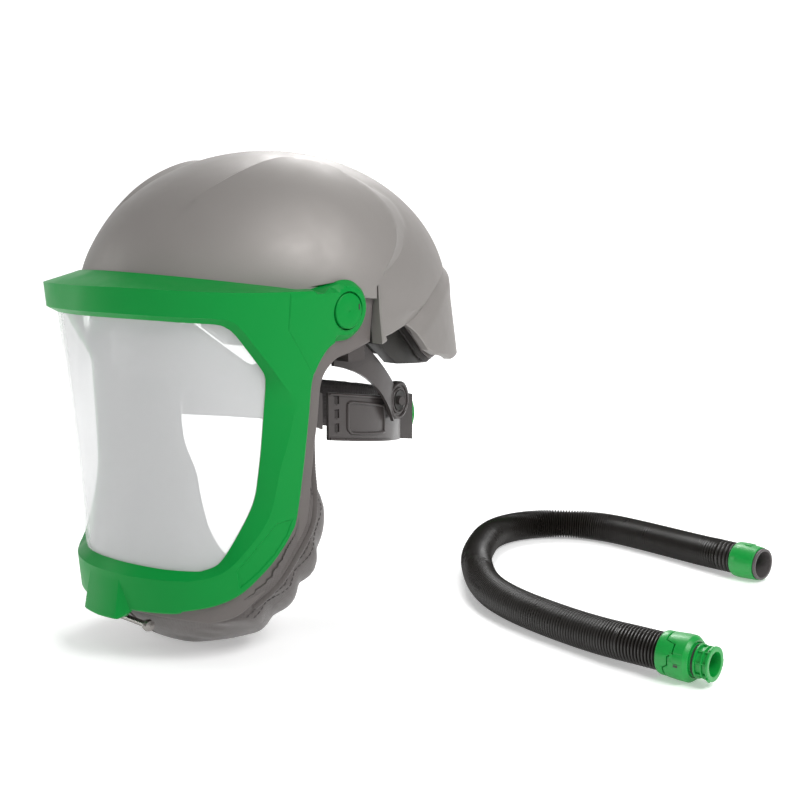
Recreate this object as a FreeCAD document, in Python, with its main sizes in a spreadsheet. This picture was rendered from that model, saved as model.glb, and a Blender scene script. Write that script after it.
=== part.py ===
"""Powered air respirator: helmet headtop with flip-up visor, head harness and breathing tube.

Frame: +Z up, front of the helmet towards -Y, wearer's left towards +X, millimetres.
The origin is the middle of the visor's hinge axis, which runs along X through both pivots.
"""
import FreeCAD, Part
import math
import os

import Sketcher

Vec = FreeCAD.Vector
X_AXIS = Vec(1, 0, 0)
Y_AXIS = Vec(0, 1, 0)
Z_AXIS = Vec(0, 0, 1)

doc = FreeCAD.newDocument("powered_air_respirator")
sheet = doc.addObject("Spreadsheet::Sheet", "Sizes")

SIZES = (
    # crown shell: an ellipsoid over a slightly flared skirt
    ("crown_half_width", 108.0),
    ("crown_half_length", 143.0),
    ("crown_height", 104.0),
    ("crown_centre_y", 35.0),
    ("crown_wall", 3.0),
    ("skirt_depth", 44.0),
    ("skirt_flare", 4.0),
    ("seam_y", 30.0),
    # visor: plan half width and front reach at the ridge, and how they shrink downwards
    ("visor_half_width", 116.0),
    ("visor_front", 127.0),
    ("visor_plan_centre", 15.0),
    ("visor_taper_side", 0.098),
    ("visor_taper_front", 0.080),
    ("ridge_z", 14.0),
    ("brow_top_z", 26.0),
    ("visor_wall", 4.0),
    ("chin_z", 191.0),
    ("ear_radius", 19.5),
    ("ear_outer_x", 116.0),
    ("cap_radius", 11.5),
    ("cap_height", 2.4),
    ("pin_radius", 4.0),
    ("lens_wall", 1.8),
    ("gasket_wall", 1.4),
    ("frame_wall", 3.0),
    ("seal_apex", 109.9),
    ("tab_half_width", 18.0),
    ("tab_height", 26.0),
    ("tab_depth", 9.0),
    # face seal fabric
    ("fabric_wall", 3.0),
    ("face_gap_half", 55.0),
    # head harness
    ("band_half_width", 82.0),
    ("band_centre_y", 30.0),
    ("front_half_length", 118.0),
    ("nape_half_length", 108.0),
    ("band_wall", 2.2),
    ("front_band_height", 22.0),
    ("nape_band_height", 32.0),
    ("front_band_tilt", 25.0),
    ("nape_band_tilt", 8.5),
    ("arm_wall", 2.6),
    ("boss_y", 85.0),
    ("boss_drop", 70.0),
    ("boss_radius", 13.5),
    ("boss_thick", 3.0),
    ("knob_radius", 21.0),
    ("knob_depth", 15.0),
    ("knob_drop", 94.0),
    ("strap_width", 20.0),
    ("strap_wall", 1.4),
    # air inlet: a socket that leans back under the cowl
    ("socket_radius", 13.9),
    ("socket_bore", 11.3),
    ("socket_length", 28.0),
    ("socket_y", 143.5),
    ("socket_drop", 24.0),
    ("socket_lean", 45.0),
    # breathing tube
    ("hose_diameter", 25.0),
    ("floor_drop", 227.0),
)
for row, (alias, number) in enumerate(SIZES, start=1):
    sheet.set("A%d" % row, alias)
    sheet.set("B%d" % row, str(number))
    sheet.setAlias("B%d" % row, alias)
doc.recompute()


def size(alias):
    """The number in one cell of the sheet."""
    return float(sheet.get(alias))


def bind(thing, **rules):
    """Bind properties of an object to the sheet; '_' in a name stands for '.'."""
    for name, rule in rules.items():
        thing.setExpression(name.replace("_", "."), rule)


def add(kind, name):
    thing = doc.addObject(kind, name)
    thing.Label = name
    return thing


def feature(name, shape):
    """A fixed shape built with Part's own functions."""
    place = shape.Placement
    thing = add("Part::Feature", name)
    thing.Shape = shape
    thing.Placement = place
    return thing


def cut(name, base, *tools):
    """Base minus each tool in turn; the last cut carries the name."""
    for index, tool in enumerate(tools):
        last = index == len(tools) - 1
        step = add("Part::Cut", name if last else "%s_cut_%d" % (name, index))
        step.Base = base
        step.Tool = tool
        base = step
    return base


def common(name, base, tool):
    thing = add("Part::Common", name)
    thing.Base = base
    thing.Tool = tool
    return thing


def fuse(name, base, *tools):
    """Base joined with each tool in turn; the last fusion carries the name."""
    for index, tool in enumerate(tools):
        last = index == len(tools) - 1
        step = add("Part::Fuse", name if last else "%s_fuse_%d" % (name, index))
        step.Base = base
        step.Tool = tool
        base = step
    return base


def box(name, low, high):
    """A box between two corners."""
    thing = add("Part::Box", name)
    thing.Length = high[0] - low[0]
    thing.Width = high[1] - low[1]
    thing.Height = high[2] - low[2]
    thing.Placement.Base = Vec(*low)
    return thing


def cylinder(name, radius_rule, start, axis, length):
    """A cylinder from a start point along an axis, its radius bound to the sheet."""
    thing = add("Part::Cylinder", name)
    thing.setExpression("Radius", radius_rule)
    thing.Height = length
    thing.Placement = FreeCAD.Placement(Vec(*start), FreeCAD.Rotation(Z_AXIS, Vec(*axis)))
    return thing


def mirrored(name, source):
    """The same piece on the wearer's right."""
    thing = add("Part::Mirroring", name)
    thing.Source = source
    thing.Normal = X_AXIS
    return thing


def outline(name, start, *steps):
    """A flat face in the YZ plane; a step is a point, or a (middle, end) pair for an arc."""
    edges = []
    here = start
    for step in steps + (start,):
        if isinstance(step[0], tuple):
            middle, end = step
            ends = [Vec(0, *here), Vec(0, *middle), Vec(0, *end)]
            edges.append(Part.Arc(*ends).toShape())
        else:
            end = step
            edges.append(Part.LineSegment(Vec(0, *here), Vec(0, *end)).toShape())
        here = end
    return feature(name, Part.Face(Part.Wire(edges)))


def across(name, face, half_width=160.0):
    """A side-view face made into a block that reaches both sides."""
    thing = add("Part::Extrusion", name)
    thing.Base = face
    thing.DirMode = "Custom"
    thing.Dir = X_AXIS
    thing.LengthFwd = 2 * half_width
    thing.Symmetric = True
    thing.Solid = True
    return thing


def ellipse(centre, one, other):
    """An ellipse from its centre and two half axes, given in either order."""
    major, minor = (one, other) if one.Length >= other.Length else (other, one)
    return Part.Ellipse(centre + major, centre + minor, centre)


def front_arc(curve, right, left, centre_y):
    """The half of a plan ellipse that lies towards the front."""
    arc = curve.toShape(curve.parameter(right), curve.parameter(left))
    if arc.CenterOfMass.y > centre_y:
        arc = curve.toShape(curve.parameter(left), curve.parameter(right))
    return arc


# ---------------------------------------------------------------- visor surface

REAR_Y = 32.0
VISOR_LOW_Z = -205.0


def visor_reach(level, inset):
    """Half width and front reach of the visor's plan curve at a height."""
    fall = size("ridge_z") - level
    half_width = size("visor_half_width") - size("visor_taper_side") * fall - inset
    front = size("visor_front") - size("visor_taper_front") * fall - inset
    return half_width, front


def plan_wire(level, inset):
    """Half ellipse at the front, straight sides, straight back."""
    half_width, front = visor_reach(level, inset)
    centre = -size("visor_plan_centre")
    depth = front + centre
    curve = ellipse(Vec(0, centre, level), Vec(half_width, 0, 0), Vec(0, -depth, 0))
    left = Vec(half_width, centre, level)
    right = Vec(-half_width, centre, level)
    back_left = Vec(half_width, REAR_Y, level)
    back_right = Vec(-half_width, REAR_Y, level)
    arc = front_arc(curve, right, left, centre)
    edges = [Part.LineSegment(back_right, right).toShape(), arc,
             Part.LineSegment(left, back_left).toShape(),
             Part.LineSegment(back_left, back_right).toShape()]
    return Part.Wire(Part.__sortEdges__(edges))


def visor_block(inset, low, high):
    """The solid inside the visor's surface, inset by a distance."""
    wires = [plan_wire(low, inset), plan_wire(high, inset)]
    return Part.makeLoft(wires, True, True)


def visor_skin(name, outer, inner):
    """The layer between two insets of the visor's surface."""
    top = size("ridge_z")
    shell = visor_block(outer, VISOR_LOW_Z, top).cut(visor_block(inner, VISOR_LOW_Z - 5, top + 5))
    return feature(name, shell)


# ---------------------------------------------------------------- crown shell

def dome(name, grow, wall):
    """Crown ellipsoid and skirt as a wall: a turned section stretched along Y."""
    radius = size("crown_half_width") + grow
    height = size("crown_height") + grow
    low = -size("skirt_depth")
    flare = size("skirt_flare")
    outer = Part.Ellipse(Vec(radius, 0, 0), Vec(0, 0, height), Vec(0, 0, 0))
    inner = Part.Ellipse(Vec(radius - wall, 0, 0), Vec(0, 0, height - wall), Vec(0, 0, 0))
    quarter = math.pi / 2
    corners = [Vec(radius + flare, 0, low), Vec(radius, 0, 0), Vec(0, 0, height),
               Vec(0, 0, height - wall), Vec(radius - wall, 0, 0), Vec(radius + flare - wall, 0, low)]
    outer_arc = outer.toShape(0, quarter)
    inner_arc = inner.toShape(0, quarter)
    edges = [Part.LineSegment(corners[0], corners[1]).toShape(), outer_arc,
             Part.LineSegment(corners[2], corners[3]).toShape(), inner_arc,
             Part.LineSegment(corners[4], corners[5]).toShape(),
             Part.LineSegment(corners[5], corners[0]).toShape()]
    section = Part.Face(Part.Wire(Part.__sortEdges__(edges)))
    turned = section.revolve(Vec(0, 0, 0), Z_AXIS, 360)
    stretch = FreeCAD.Matrix()
    stretch.scale(1, size("crown_half_length") / size("crown_half_width"), 1)
    stretch.move(Vec(0, size("crown_centre_y"), 0))
    return feature(name, turned.transformGeometry(stretch))


def crown_shell():
    """Shell with its rim: over the brow in front, low at the back as a cowl."""
    below = outline("crown_rim", (-130, 20), (size("seam_y"), 5.7), (size("seam_y"), -23.5), (66, -14),
                    (116, -42), (200, -43), (200, -60), (-130, -60))
    return cut("crown_shell", dome("crown_wall_form", 0, size("crown_wall")), across("crown_rim_block", below))


def brow_gasket():
    """Dark strip that lies on the shell under the brow's upper edge."""
    band = outline("gasket_band", (-130, 21), (-12, 8), (-12, 11), (-130, 26))
    skin = dome("gasket_form", 1.4, 1.1)
    return common("brow_gasket", skin, across("gasket_block", band))


# ---------------------------------------------------------------- visor

LENS_CORNERS = ((-150, -8), (-84, -6), (-56, -40), (-56, -84), (-59, -117), (-80, -160), (-150, -161))


def grown(corners, amount):
    """Opening outline moved outwards by about an amount."""
    centre_z = sum(z for _, z in corners) / len(corners)
    moved = []
    for y, z in corners:
        shift = amount if z > centre_z else -amount
        reach = 0.0 if y < -140 else amount
        slope = 0.35 if -118 < z < -39 else 1.0
        moved.append((y + reach, z + shift * slope))
    return moved


EAR_THICK = 4.8


def visor_frame():
    """Green frame: brow band, ears and jaw around the lens opening, with its chin tab."""
    wall = size("visor_wall")
    ridge = size("ridge_z")
    edge = outline("visor_edge", (-150, ridge), (6, ridge), (6, -18), (-3.5, -19.2),
                   ((-18.5, -26.5), (-26, -44)), (-31.6, -131), ((-49, -163), (-85, -188)),
                   (-150, -size("chin_z")))
    skin = common("visor_skin_trimmed", visor_skin("visor_skin", 0, wall), across("visor_edge_block", edge))
    window = across("visor_window", outline("visor_window_edge", *LENS_CORNERS))
    jaw = cut("visor_jaw", skin, window)
    roof = brow_roof(wall)
    pieces = [jaw]
    for side, name in ((1, "left"), (-1, "right")):
        inner_x = side * (size("ear_outer_x") - EAR_THICK)
        ear = cylinder("visor_ear_" + name, "Sizes.ear_radius", (inner_x, 0, 0), (side, 0, 0), EAR_THICK)
        pieces.append(ear)
    tab = add("Part::Box", "chin_tab_block")
    bind(tab, Length="2 * Sizes.tab_half_width", Width="Sizes.tab_depth", Height="Sizes.tab_height",
         Placement_Base_x="-Sizes.tab_half_width")
    tab.Placement.Base.y = -117.4
    tab.Placement.Base.z = -197.0
    pieces.append(tab)
    pieces.append(roof)
    whole = fuse("visor_whole", *pieces)
    bores = []
    for side, name in ((1, "left"), (-1, "right")):
        bores.append(cylinder("visor_bore_" + name, "Sizes.pin_radius + 0.25", (side * 100, 0, 0),
                              (side, 0, 0), 30))
    return cut("visor_frame", whole, *bores)


def brow_roof(wall):
    """Sloped top face of the brow, from the ridge in to the crown."""
    ridge = size("ridge_z")
    top = size("brow_top_z")
    outer = Part.makeLoft([plan_wire(ridge, 0), leaning(crown_edge_wire(top, 5.2))], True, True)
    inner_rim = leaning(crown_edge_wire(top - wall * 0.8, 4.4))
    inner = Part.makeLoft([plan_wire(ridge - 0.01, wall), inner_rim], True, True)
    roof = outer.cut(inner).cut(crown_block(2.6))
    for lift in (20, 40, 60, 75):
        swept = crown_block(2.0)
        swept.rotate(Vec(0, 0, 0), X_AXIS, lift)
        roof = roof.cut(swept)
    slope = outline("brow_slope", (-150, ridge), (-150, top + 12), (4, top + 12), (4, ridge))
    form = feature("brow_roof_form", roof)
    return common("brow_roof", form, across("brow_slope_block", slope))


BROW_LEAN = -0.12
BROW_FRONT_Y = -106.0


def leaning(wire):
    """The same plan curve on a plane that falls towards the back."""
    shear = FreeCAD.Matrix()
    shear.A32 = BROW_LEAN
    shear.A34 = -BROW_LEAN * BROW_FRONT_Y
    return wire.transformGeometry(shear)


def crown_edge_wire(level, gap):
    """The crown's plan curve at the brow, a gap outside the shell, cut at the same places."""
    half_width = size("crown_half_width") + gap
    half_length = size("crown_half_length") + gap
    shrink = math.sqrt(1 - (level / size("crown_height")) ** 2)
    centre = size("crown_centre_y")
    split = -size("visor_plan_centre")
    curve = Part.Ellipse(Vec(0, centre - half_length * shrink, level), Vec(half_width * shrink, centre, level),
                         Vec(0, centre, level))

    def at(y, side):
        ratio = math.sqrt(1 - ((y - centre) / (half_length * shrink)) ** 2)
        return Vec(side * half_width * shrink * ratio, y, level)

    points = [at(REAR_Y, -1), at(split, -1), at(split, 1), at(REAR_Y, 1)]
    edges = []
    for first, last in zip(points[:-1], points[1:]):
        a = curve.parameter(first)
        b = curve.parameter(last)
        edges.append(shorter_arc(curve, a, b))
    edges.append(Part.LineSegment(points[3], points[0]).toShape())
    return Part.Wire(Part.__sortEdges__(edges))


def shorter_arc(curve, first, last):
    one = curve.toShape(first, last)
    two = curve.toShape(last, first)
    return one if one.Length < two.Length else two


def crown_block(gap):
    """The solid crown ellipsoid, grown by a gap."""
    ball = Part.makeSphere(1.0)
    grow = FreeCAD.Matrix()
    grow.scale(size("crown_half_width") + gap, size("crown_half_length") + gap, size("crown_height") + gap)
    grow.move(Vec(0, size("crown_centre_y"), 0))
    return ball.transformGeometry(grow)


def visor_lens():
    """Clear lens behind the frame's opening."""
    start = size("visor_wall") + 0.2
    skin = visor_skin("lens_skin", start, start + size("lens_wall"))
    window = across("lens_edge_block", outline("lens_edge", *grown(LENS_CORNERS, 5)))
    return common("visor_lens", skin, window)


def lens_gasket():
    """Soft strip round the lens, on its inner face."""
    start = size("visor_wall") + 0.2 + size("lens_wall") + 0.05
    skin = visor_skin("gasket_skin", start, start + size("gasket_wall"))
    strip = common("lens_gasket_block", skin, across("gasket_outer", outline("gasket_outer_edge",
                                                                             *grown(LENS_CORNERS, 4.6))))
    return cut("lens_gasket", strip, across("gasket_inner", outline("gasket_inner_edge",
                                                                    *grown(LENS_CORNERS, 0.4))))


# ---------------------------------------------------------------- face seal

SEAL_EDGE = ((-150, -38), (-50, -38), (-50, -10), (-38, 5), (29.1, 5), ((20.86, -20.86), (-0.6, -29.5)),
             ((-10.5, -37.5), (-15, -52)), (-18.7, -128), ((-30, -157), (-66.7, -196.4)), (-78, -198),
             (-150, -198))
CONE_REACH = 260.0


def seal_form(inset, apex, low, high):
    """Inside of the visor, held by a flat cone about the hinge clear of the visor's sweep."""
    rim = apex - size("visor_taper_side") * CONE_REACH
    corners = [Vec(-apex, 0, 0), Vec(apex, 0, 0), Vec(rim, CONE_REACH, 0), Vec(-rim, CONE_REACH, 0)]
    profile = Part.Face(Part.makePolygon(corners + corners[:1]))
    return visor_block(inset, low, high).common(profile.revolve(Vec(0, 0, 0), X_AXIS, 360))


def face_seal_frame():
    """Rigid ring behind the visor: hinge plates, cheeks and chin, fixed to the crown."""
    start = size("visor_wall") + 0.6
    wall = size("frame_wall")
    apex = size("seal_apex")
    outer = seal_form(start, apex, VISOR_LOW_Z, size("ridge_z"))
    inner = seal_form(start + wall, apex - wall, VISOR_LOW_Z - 5, size("ridge_z") + 5)
    skin = feature("seal_skin", outer.cut(inner))
    ring = common("seal_ring", skin, across("seal_edge_block", outline("seal_edge", *SEAL_EDGE)))
    window = across("seal_window", outline("seal_window_edge", *grown(LENS_CORNERS, 8)))
    cheeks = cut("seal_cheeks", ring, window)
    shelf_outer = visor_block(start, -198, -195)
    shelf_inner = visor_block(start + 26, -199, -194)
    shelf = shelf_outer.cut(shelf_inner).common(Part.makeBox(300, 61, 10, Vec(-150, -140, -200)))
    bores = []
    for side, name in ((1, "left"), (-1, "right")):
        bores.append(cylinder("plate_bore_" + name, "Sizes.pin_radius", (side * 100, 0, 0), (side, 0, 0), 20))
    return cut("face_seal_frame", fuse("seal_frame_whole", cheeks, feature("seal_shelf", shelf)), *bores)


def seal_wire(level, half_width, front, rear, corner, wide_y):
    """Plan of the fabric: half ellipse in front, rounded back."""
    depth = wide_y - front
    curve = ellipse(Vec(0, wide_y, level), Vec(half_width, 0, 0), Vec(0, -depth, 0))
    left = Vec(half_width, wide_y, level)
    right = Vec(-half_width, wide_y, level)
    arc = front_arc(curve, right, left, wide_y)
    turn = corner * (1 - math.sqrt(0.5))
    edges = [arc]
    for side in (1, -1):
        low = Vec(side * half_width, rear - corner, level)
        middle = Vec(side * (half_width - turn), rear - turn, level)
        high = Vec(side * (half_width - corner), rear, level)
        edges.append(Part.LineSegment(Vec(side * half_width, wide_y, level), low).toShape())
        edges.append(Part.Arc(low, middle, high).toShape())
    edges.append(Part.LineSegment(Vec(half_width - corner, rear, level),
                                  Vec(-half_width + corner, rear, level)).toShape())
    return Part.Wire(Part.__sortEdges__(edges))


SEAL_SECTIONS = (
    # level, half width, front, rear, corner radius, where it is widest
    (-34, 98, -98, -2, 22, -38),
    (-100, 97, -102, 6, 26, -38),
    (-133, 96, -103, 6, 28, -38),
    (-165, 91, -102, 2, 30, -38),
    (-190, 79, -95, -8, 33, -42),
    (-206, 62, -76, -12, 28, -42),
    (-219, 42, -60, -18, 20, -39),
    (-226.5, 22, -46, -24, 9, -35),
)


def face_seal():
    """Fabric seal: side cheeks and a chin bowl, open to the face at the back."""
    wall = size("fabric_wall")
    outer = Part.makeLoft([seal_wire(*row) for row in SEAL_SECTIONS], True, True)
    inside = []
    for level, half_width, front, rear, corner, wide_y in SEAL_SECTIONS:
        lift = wall if level < -180 else (0 if level < -34 else 1)
        inside.append(seal_wire(level + lift, half_width - wall, front + wall, rear - wall,
                                corner - wall, wide_y))
    bag = outer.cut(Part.makeLoft(inside, True, True))
    front = across("seal_front_block", outline(
        "seal_front_edge", (-150, 8), (0.5, 8), (0.5, -29.5), ((-9.8, -37.2), (-14.3, -52)), (-18.0, -128),
        ((-29.3, -157), (-66.3, -197.1)), (-78, -198.7), (-150, -198.7)))
    gap = size("face_gap_half")
    face = box("face_gap", (-gap, -30, -178), (gap, 40, -20))
    band = box("band_gap", (-86, -30, -92), (86, 40, -20))
    return cut("face_seal", feature("seal_bag", bag), front, face, band)


# ---------------------------------------------------------------- air inlet

def elliptic_block(name, half_width, half_length, centre_y, low, high):
    """An upright elliptic cylinder."""
    flat = add("Part::Ellipse", name + "_plan")
    flat.MajorRadius = max(half_width, half_length)
    flat.MinorRadius = min(half_width, half_length)
    turn = 90 if half_length > half_width else 0
    flat.Placement = FreeCAD.Placement(Vec(0, centre_y, low), FreeCAD.Rotation(Z_AXIS, turn))
    block = add("Part::Extrusion", name)
    block.Base = flat
    block.DirMode = "Custom"
    block.Dir = Z_AXIS
    block.LengthFwd = high - low
    block.Solid = True
    return block


def rear_sector(name, outer, inner, low, high, side_outline):
    """Part of an elliptic ring round the back of the head, trimmed in side view."""
    tall = elliptic_block(name + "_outer", outer[0], outer[1], outer[2], low, high)
    void = elliptic_block(name + "_inner", inner[0], inner[1], inner[2], low - 5, high + 5)
    ring = cut(name + "_ring", tall, void)
    keep = across(name + "_side", outline(name + "_side_edge", *side_outline))
    return common(name, ring, keep)


def air_plenum():
    """Black duct round the back of the head, under the cowl, with the inlet's seat."""
    duct = rear_sector("plenum_duct", (97, 128, 35), (86, 112, 32), -46, -6,
                       ((46, -8), (46, -26), (66, -41), (120, -46), (180, -46), (180, -8)))
    seat = box("plenum_seat", (-34, 132, -46), (34, 161, -8))
    whole = fuse("plenum_whole", duct, seat)
    back = elliptic_block("plenum_back", 97, 128, 35, -60, 0)
    return cut("air_plenum", common("plenum_inside", whole, back), socket_hole("plenum_bore"))


def socket_axis():
    """Where the inlet socket starts and which way it opens."""
    lean = math.radians(size("socket_lean"))
    return Vec(0, size("socket_y"), -size("socket_drop")), Vec(0, math.sin(lean), -math.cos(lean))


def socket_hole(name):
    """The room that the inlet socket takes up, with a longer reach at both ends."""
    start, out = socket_axis()
    below = start - out * 6
    return cylinder(name, "Sizes.socket_radius", tuple(below), tuple(out), size("socket_length") + 40)


def inlet_plates():
    """Two thin plates between the duct and the cowl, cut away round the socket."""
    flange = rear_sector("flange_ring", (101.5, 133, 35), (99.7, 131, 35), -42, -8,
                         ((64, -10), (98, -36), (112, -42), (180, -42), (180, -10)))
    cut("inlet_flange", flange, socket_hole("flange_bore"))
    gasket = rear_sector("gasket_ring", (99.2, 130.5, 35), (97.4, 128.5, 35), -44, -8,
                         ((58, -10), (92, -38), (106, -44), (180, -44), (180, -10)))
    cut("inlet_gasket", gasket, socket_hole("gasket_bore"))


def air_inlet_socket():
    """Round socket for the breathing tube, opening down and back under the cowl."""
    body = add("PartDesign::Body", "air_inlet_socket")
    bore = size("socket_bore")
    radius = size("socket_radius")
    length = size("socket_length")
    turned(body, ((bore, 0), (radius, 0), (radius, length), (bore, length)))
    start, out = socket_axis()
    body.Placement = aimed(start, out)
    return body


# ---------------------------------------------------------------- turned pieces

def turned(body, profile):
    """Revolve a closed profile of (radius, height) points about the body's Z axis."""
    plane = None
    for item in body.Origin.OriginFeatures:
        if item.Role == "XZ_Plane":
            plane = item
    sketch = body.newObject("Sketcher::SketchObject", body.Name + "_profile")
    sketch.AttachmentSupport = [(plane, "")]
    sketch.MapMode = "FlatFace"
    points = [Vec(radius, height, 0) for radius, height in profile]
    for first, last in zip(points, points[1:] + points[:1]):
        sketch.addGeometry(Part.LineSegment(first, last), False)
    count = len(points)
    for index in range(count):
        sketch.addConstraint(Sketcher.Constraint("Coincident", index, 2, (index + 1) % count, 1))
    turn = body.newObject("PartDesign::Revolution", body.Name + "_turn")
    turn.Profile = sketch
    turn.ReferenceAxis = (sketch, ["V_Axis"])
    turn.Angle = 360
    body.Tip = turn
    sketch.Visibility = False
    doc.recompute()
    return turn


def padded_circle(body, radius, length_rule, name):
    """A round pad on the body's XY plane, its length bound to the sheet."""
    plane = None
    for item in body.Origin.OriginFeatures:
        if item.Role == "XY_Plane":
            plane = item
    sketch = body.newObject("Sketcher::SketchObject", name + "_sketch")
    sketch.AttachmentSupport = [(plane, "")]
    sketch.MapMode = "FlatFace"
    sketch.addGeometry(Part.Circle(Vec(0, 0, 0), Z_AXIS, 1.0), False)
    sketch.addConstraint(Sketcher.Constraint("Coincident", 0, 3, -1, 1))
    sketch.addConstraint(Sketcher.Constraint("Radius", 0, size(radius)))
    sketch.setExpression("Constraints[1]", "Sizes." + radius)
    pad = body.newObject("PartDesign::Pad", name + "_pad")
    pad.Profile = sketch
    pad.setExpression("Length", length_rule)
    doc.recompute()
    return pad


def pocketed(body, name, corners, depth, base_face):
    """A pocket with straight sides cut into a face of the body."""
    sketch = body.newObject("Sketcher::SketchObject", name + "_sketch")
    sketch.AttachmentSupport = [(base_face[0], base_face[1])]
    sketch.MapMode = "FlatFace"
    points = [Vec(x, y, 0) for x, y in corners]
    for first, last in zip(points, points[1:] + points[:1]):
        sketch.addGeometry(Part.LineSegment(first, last), False)
    count = len(points)
    for index in range(count):
        sketch.addConstraint(Sketcher.Constraint("Coincident", index, 2, (index + 1) % count, 1))
    pocket = body.newObject("PartDesign::Pocket", name + "_pocket")
    pocket.Profile = sketch
    pocket.Length = depth
    doc.recompute()
    return pocket


def top_face(pad):
    """Name of a feature's highest flat face."""
    best = max(range(len(pad.Shape.Faces)), key=lambda i: pad.Shape.Faces[i].CenterOfMass.z)
    return "Face%d" % (best + 1)


def pivot_caps():
    """Round quarter-turn cap over each pivot, with a small notch."""
    for side, name in ((1, "left"), (-1, "right")):
        body = add("PartDesign::Body", "pivot_cap_" + name)
        pad = padded_circle(body, "cap_radius", "Sizes.cap_height", "cap_" + name)
        notch = pocketed(body, "notch_" + name, ((-1.6, 7.2), (1.6, 7.2), (1.6, 10.6), (-1.6, 10.6)), 1.2,
                         (pad, top_face(pad)))
        body.Tip = notch
        turn = FreeCAD.Rotation(Z_AXIS, Vec(side, 0, 0))
        body.Placement = FreeCAD.Placement(Vec(side * (size("ear_outer_x") + 0.15), 0, 0), turn)


def hinge_pins():
    """Stepped pin through each hinge plate and ear."""
    inner = visor_reach(0, size("visor_wall") + 0.6)[0] - size("frame_wall")
    start = inner - 4.0
    for side, name in ((1, "left"), (-1, "right")):
        body = add("PartDesign::Body", "hinge_pin_" + name)
        radius = size("pin_radius")
        length = size("ear_outer_x") - 0.2 - start
        turned(body, ((0, 0), (7, 0), (7, 3.1), (radius, 3.1), (radius, length), (0, length)))
        turn = FreeCAD.Rotation(Z_AXIS, Vec(side, 0, 0))
        body.Placement = FreeCAD.Placement(Vec(side * start, 0, 0), turn)


def chin_catch():
    """Metal catch bar under the chin that the visor snaps over."""
    body = add("PartDesign::Body", "chin_catch")
    turned(body, ((0, 0), (3.4, 0.8), (4, 3), (3.4, 5.4), (2, 6.6), (2, 57.4), (3.4, 58.6), (4, 61),
                  (3.4, 63.2), (0, 64)))
    body.Placement = FreeCAD.Placement(Vec(-32, -98, -202.5), FreeCAD.Rotation(Z_AXIS, X_AXIS))
    return body


# ---------------------------------------------------------------- head harness

def tilted_ring(name, half_length, outset, wall, height, tilt, pivot, y_low, y_high):
    """Part of an upright elliptic band between two tilted planes.

    The band's own plane passes through pivot (y, z) and falls towards the back by tilt.
    """
    half_width = size("band_half_width") + outset
    length = half_length + outset
    centre = size("band_centre_y")
    tall = elliptic_block(name + "_outer", half_width, length, centre, -160, 60)
    void = elliptic_block(name + "_inner", half_width - wall, length - wall, centre, -170, 70)
    ring = cut(name + "_tube", tall, void)
    rad = math.radians(tilt)
    half = height / 2 / math.cos(rad)

    def line(y, lift):
        return (y, pivot[1] - (y - pivot[0]) * math.tan(rad) + lift)

    face = outline(name + "_side_edge", line(y_low, -half), line(y_high, -half), line(y_high, half),
                   line(y_low, half))
    return common(name, ring, across(name + "_side", face))


def harness_bands():
    """Front strap, nape band and their pads."""
    front_tilt = size("front_band_tilt")
    nape_tilt = size("nape_band_tilt")
    tilted_ring("headband", size("front_half_length"), 0, size("band_wall"), size("front_band_height"),
                front_tilt, (-88, -24), -95, 9)
    tilted_ring("brow_pad", size("front_half_length"), -size("band_wall") - 0.4, 7, 28,
                front_tilt, (-88, -24), -95, -48)
    band = tilted_ring("nape_band_whole", size("nape_half_length"), 0, size("band_wall"),
                       size("nape_band_height"), nape_tilt, (14, -73), 14, 145)
    bores = [cylinder("nape_bore_" + name, "3.3 mm", (side * 50, size("boss_y"), -size("boss_drop")),
                      (side, 0, 0), 40) for side, name in ((1, "left"), (-1, "right"))]
    slots = []
    for index in range(3):
        z = -62.5 - 9.5 * index
        slots.append(box("nape_slot_%d" % index, (-100, 19, z - 3), (100, 23, z + 3)))
    cut("nape_band", band, *(bores + slots))
    tilted_ring("nape_pad", size("nape_half_length"), -size("band_wall") - 0.4, 8, 38,
                nape_tilt, (14, -71), 104, 140)
    shell = tilted_ring("ratchet_ring", size("nape_half_length"), 11.5, 11.2, 34, nape_tilt, (14, -73), 60, 160)
    keep = box("ratchet_keep", (-43, 90, -140), (43, 160, -40))
    seat = cylinder("ratchet_bore", "4.6 mm", (0, 130, -size("knob_drop")), (0, 1, 0), 40)
    cut("ratchet_housing", common("ratchet_block", shell, keep), seat)


def ratchet_knob():
    """Green knob with finger notches round its rim; its stem enters the housing."""
    body = add("PartDesign::Body", "ratchet_knob")
    radius = size("knob_radius")
    depth = size("knob_depth")
    turned(body, ((0, -9), (4.2, -9), (4.2, 0), (radius, 0), (radius, depth - 3), (radius - 3, depth),
                  (0, depth)))
    face = body.Tip
    sketch = body.newObject("Sketcher::SketchObject", "knob_notch_sketch")
    sketch.AttachmentSupport = [(face, top_face(face))]
    sketch.MapMode = "FlatFace"
    sketch.addGeometry(Part.Circle(Vec(radius + 1.2, 0, 0), Z_AXIS, 2.4), False)
    notch = body.newObject("PartDesign::Pocket", "knob_notch")
    notch.Profile = sketch
    notch.Length = depth
    doc.recompute()
    ring = body.newObject("PartDesign::PolarPattern", "knob_notches")
    ring.Originals = [notch]
    ring.Axis = (sketch, ["N_Axis"])
    ring.Angle = 360
    ring.Occurrences = 18
    body.Tip = ring
    rear = size("band_centre_y") + size("nape_half_length") + 11.5 + 0.5
    body.Placement = FreeCAD.Placement(Vec(0, rear, -size("knob_drop")), FreeCAD.Rotation(Z_AXIS, Y_AXIS))
    return body


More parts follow.
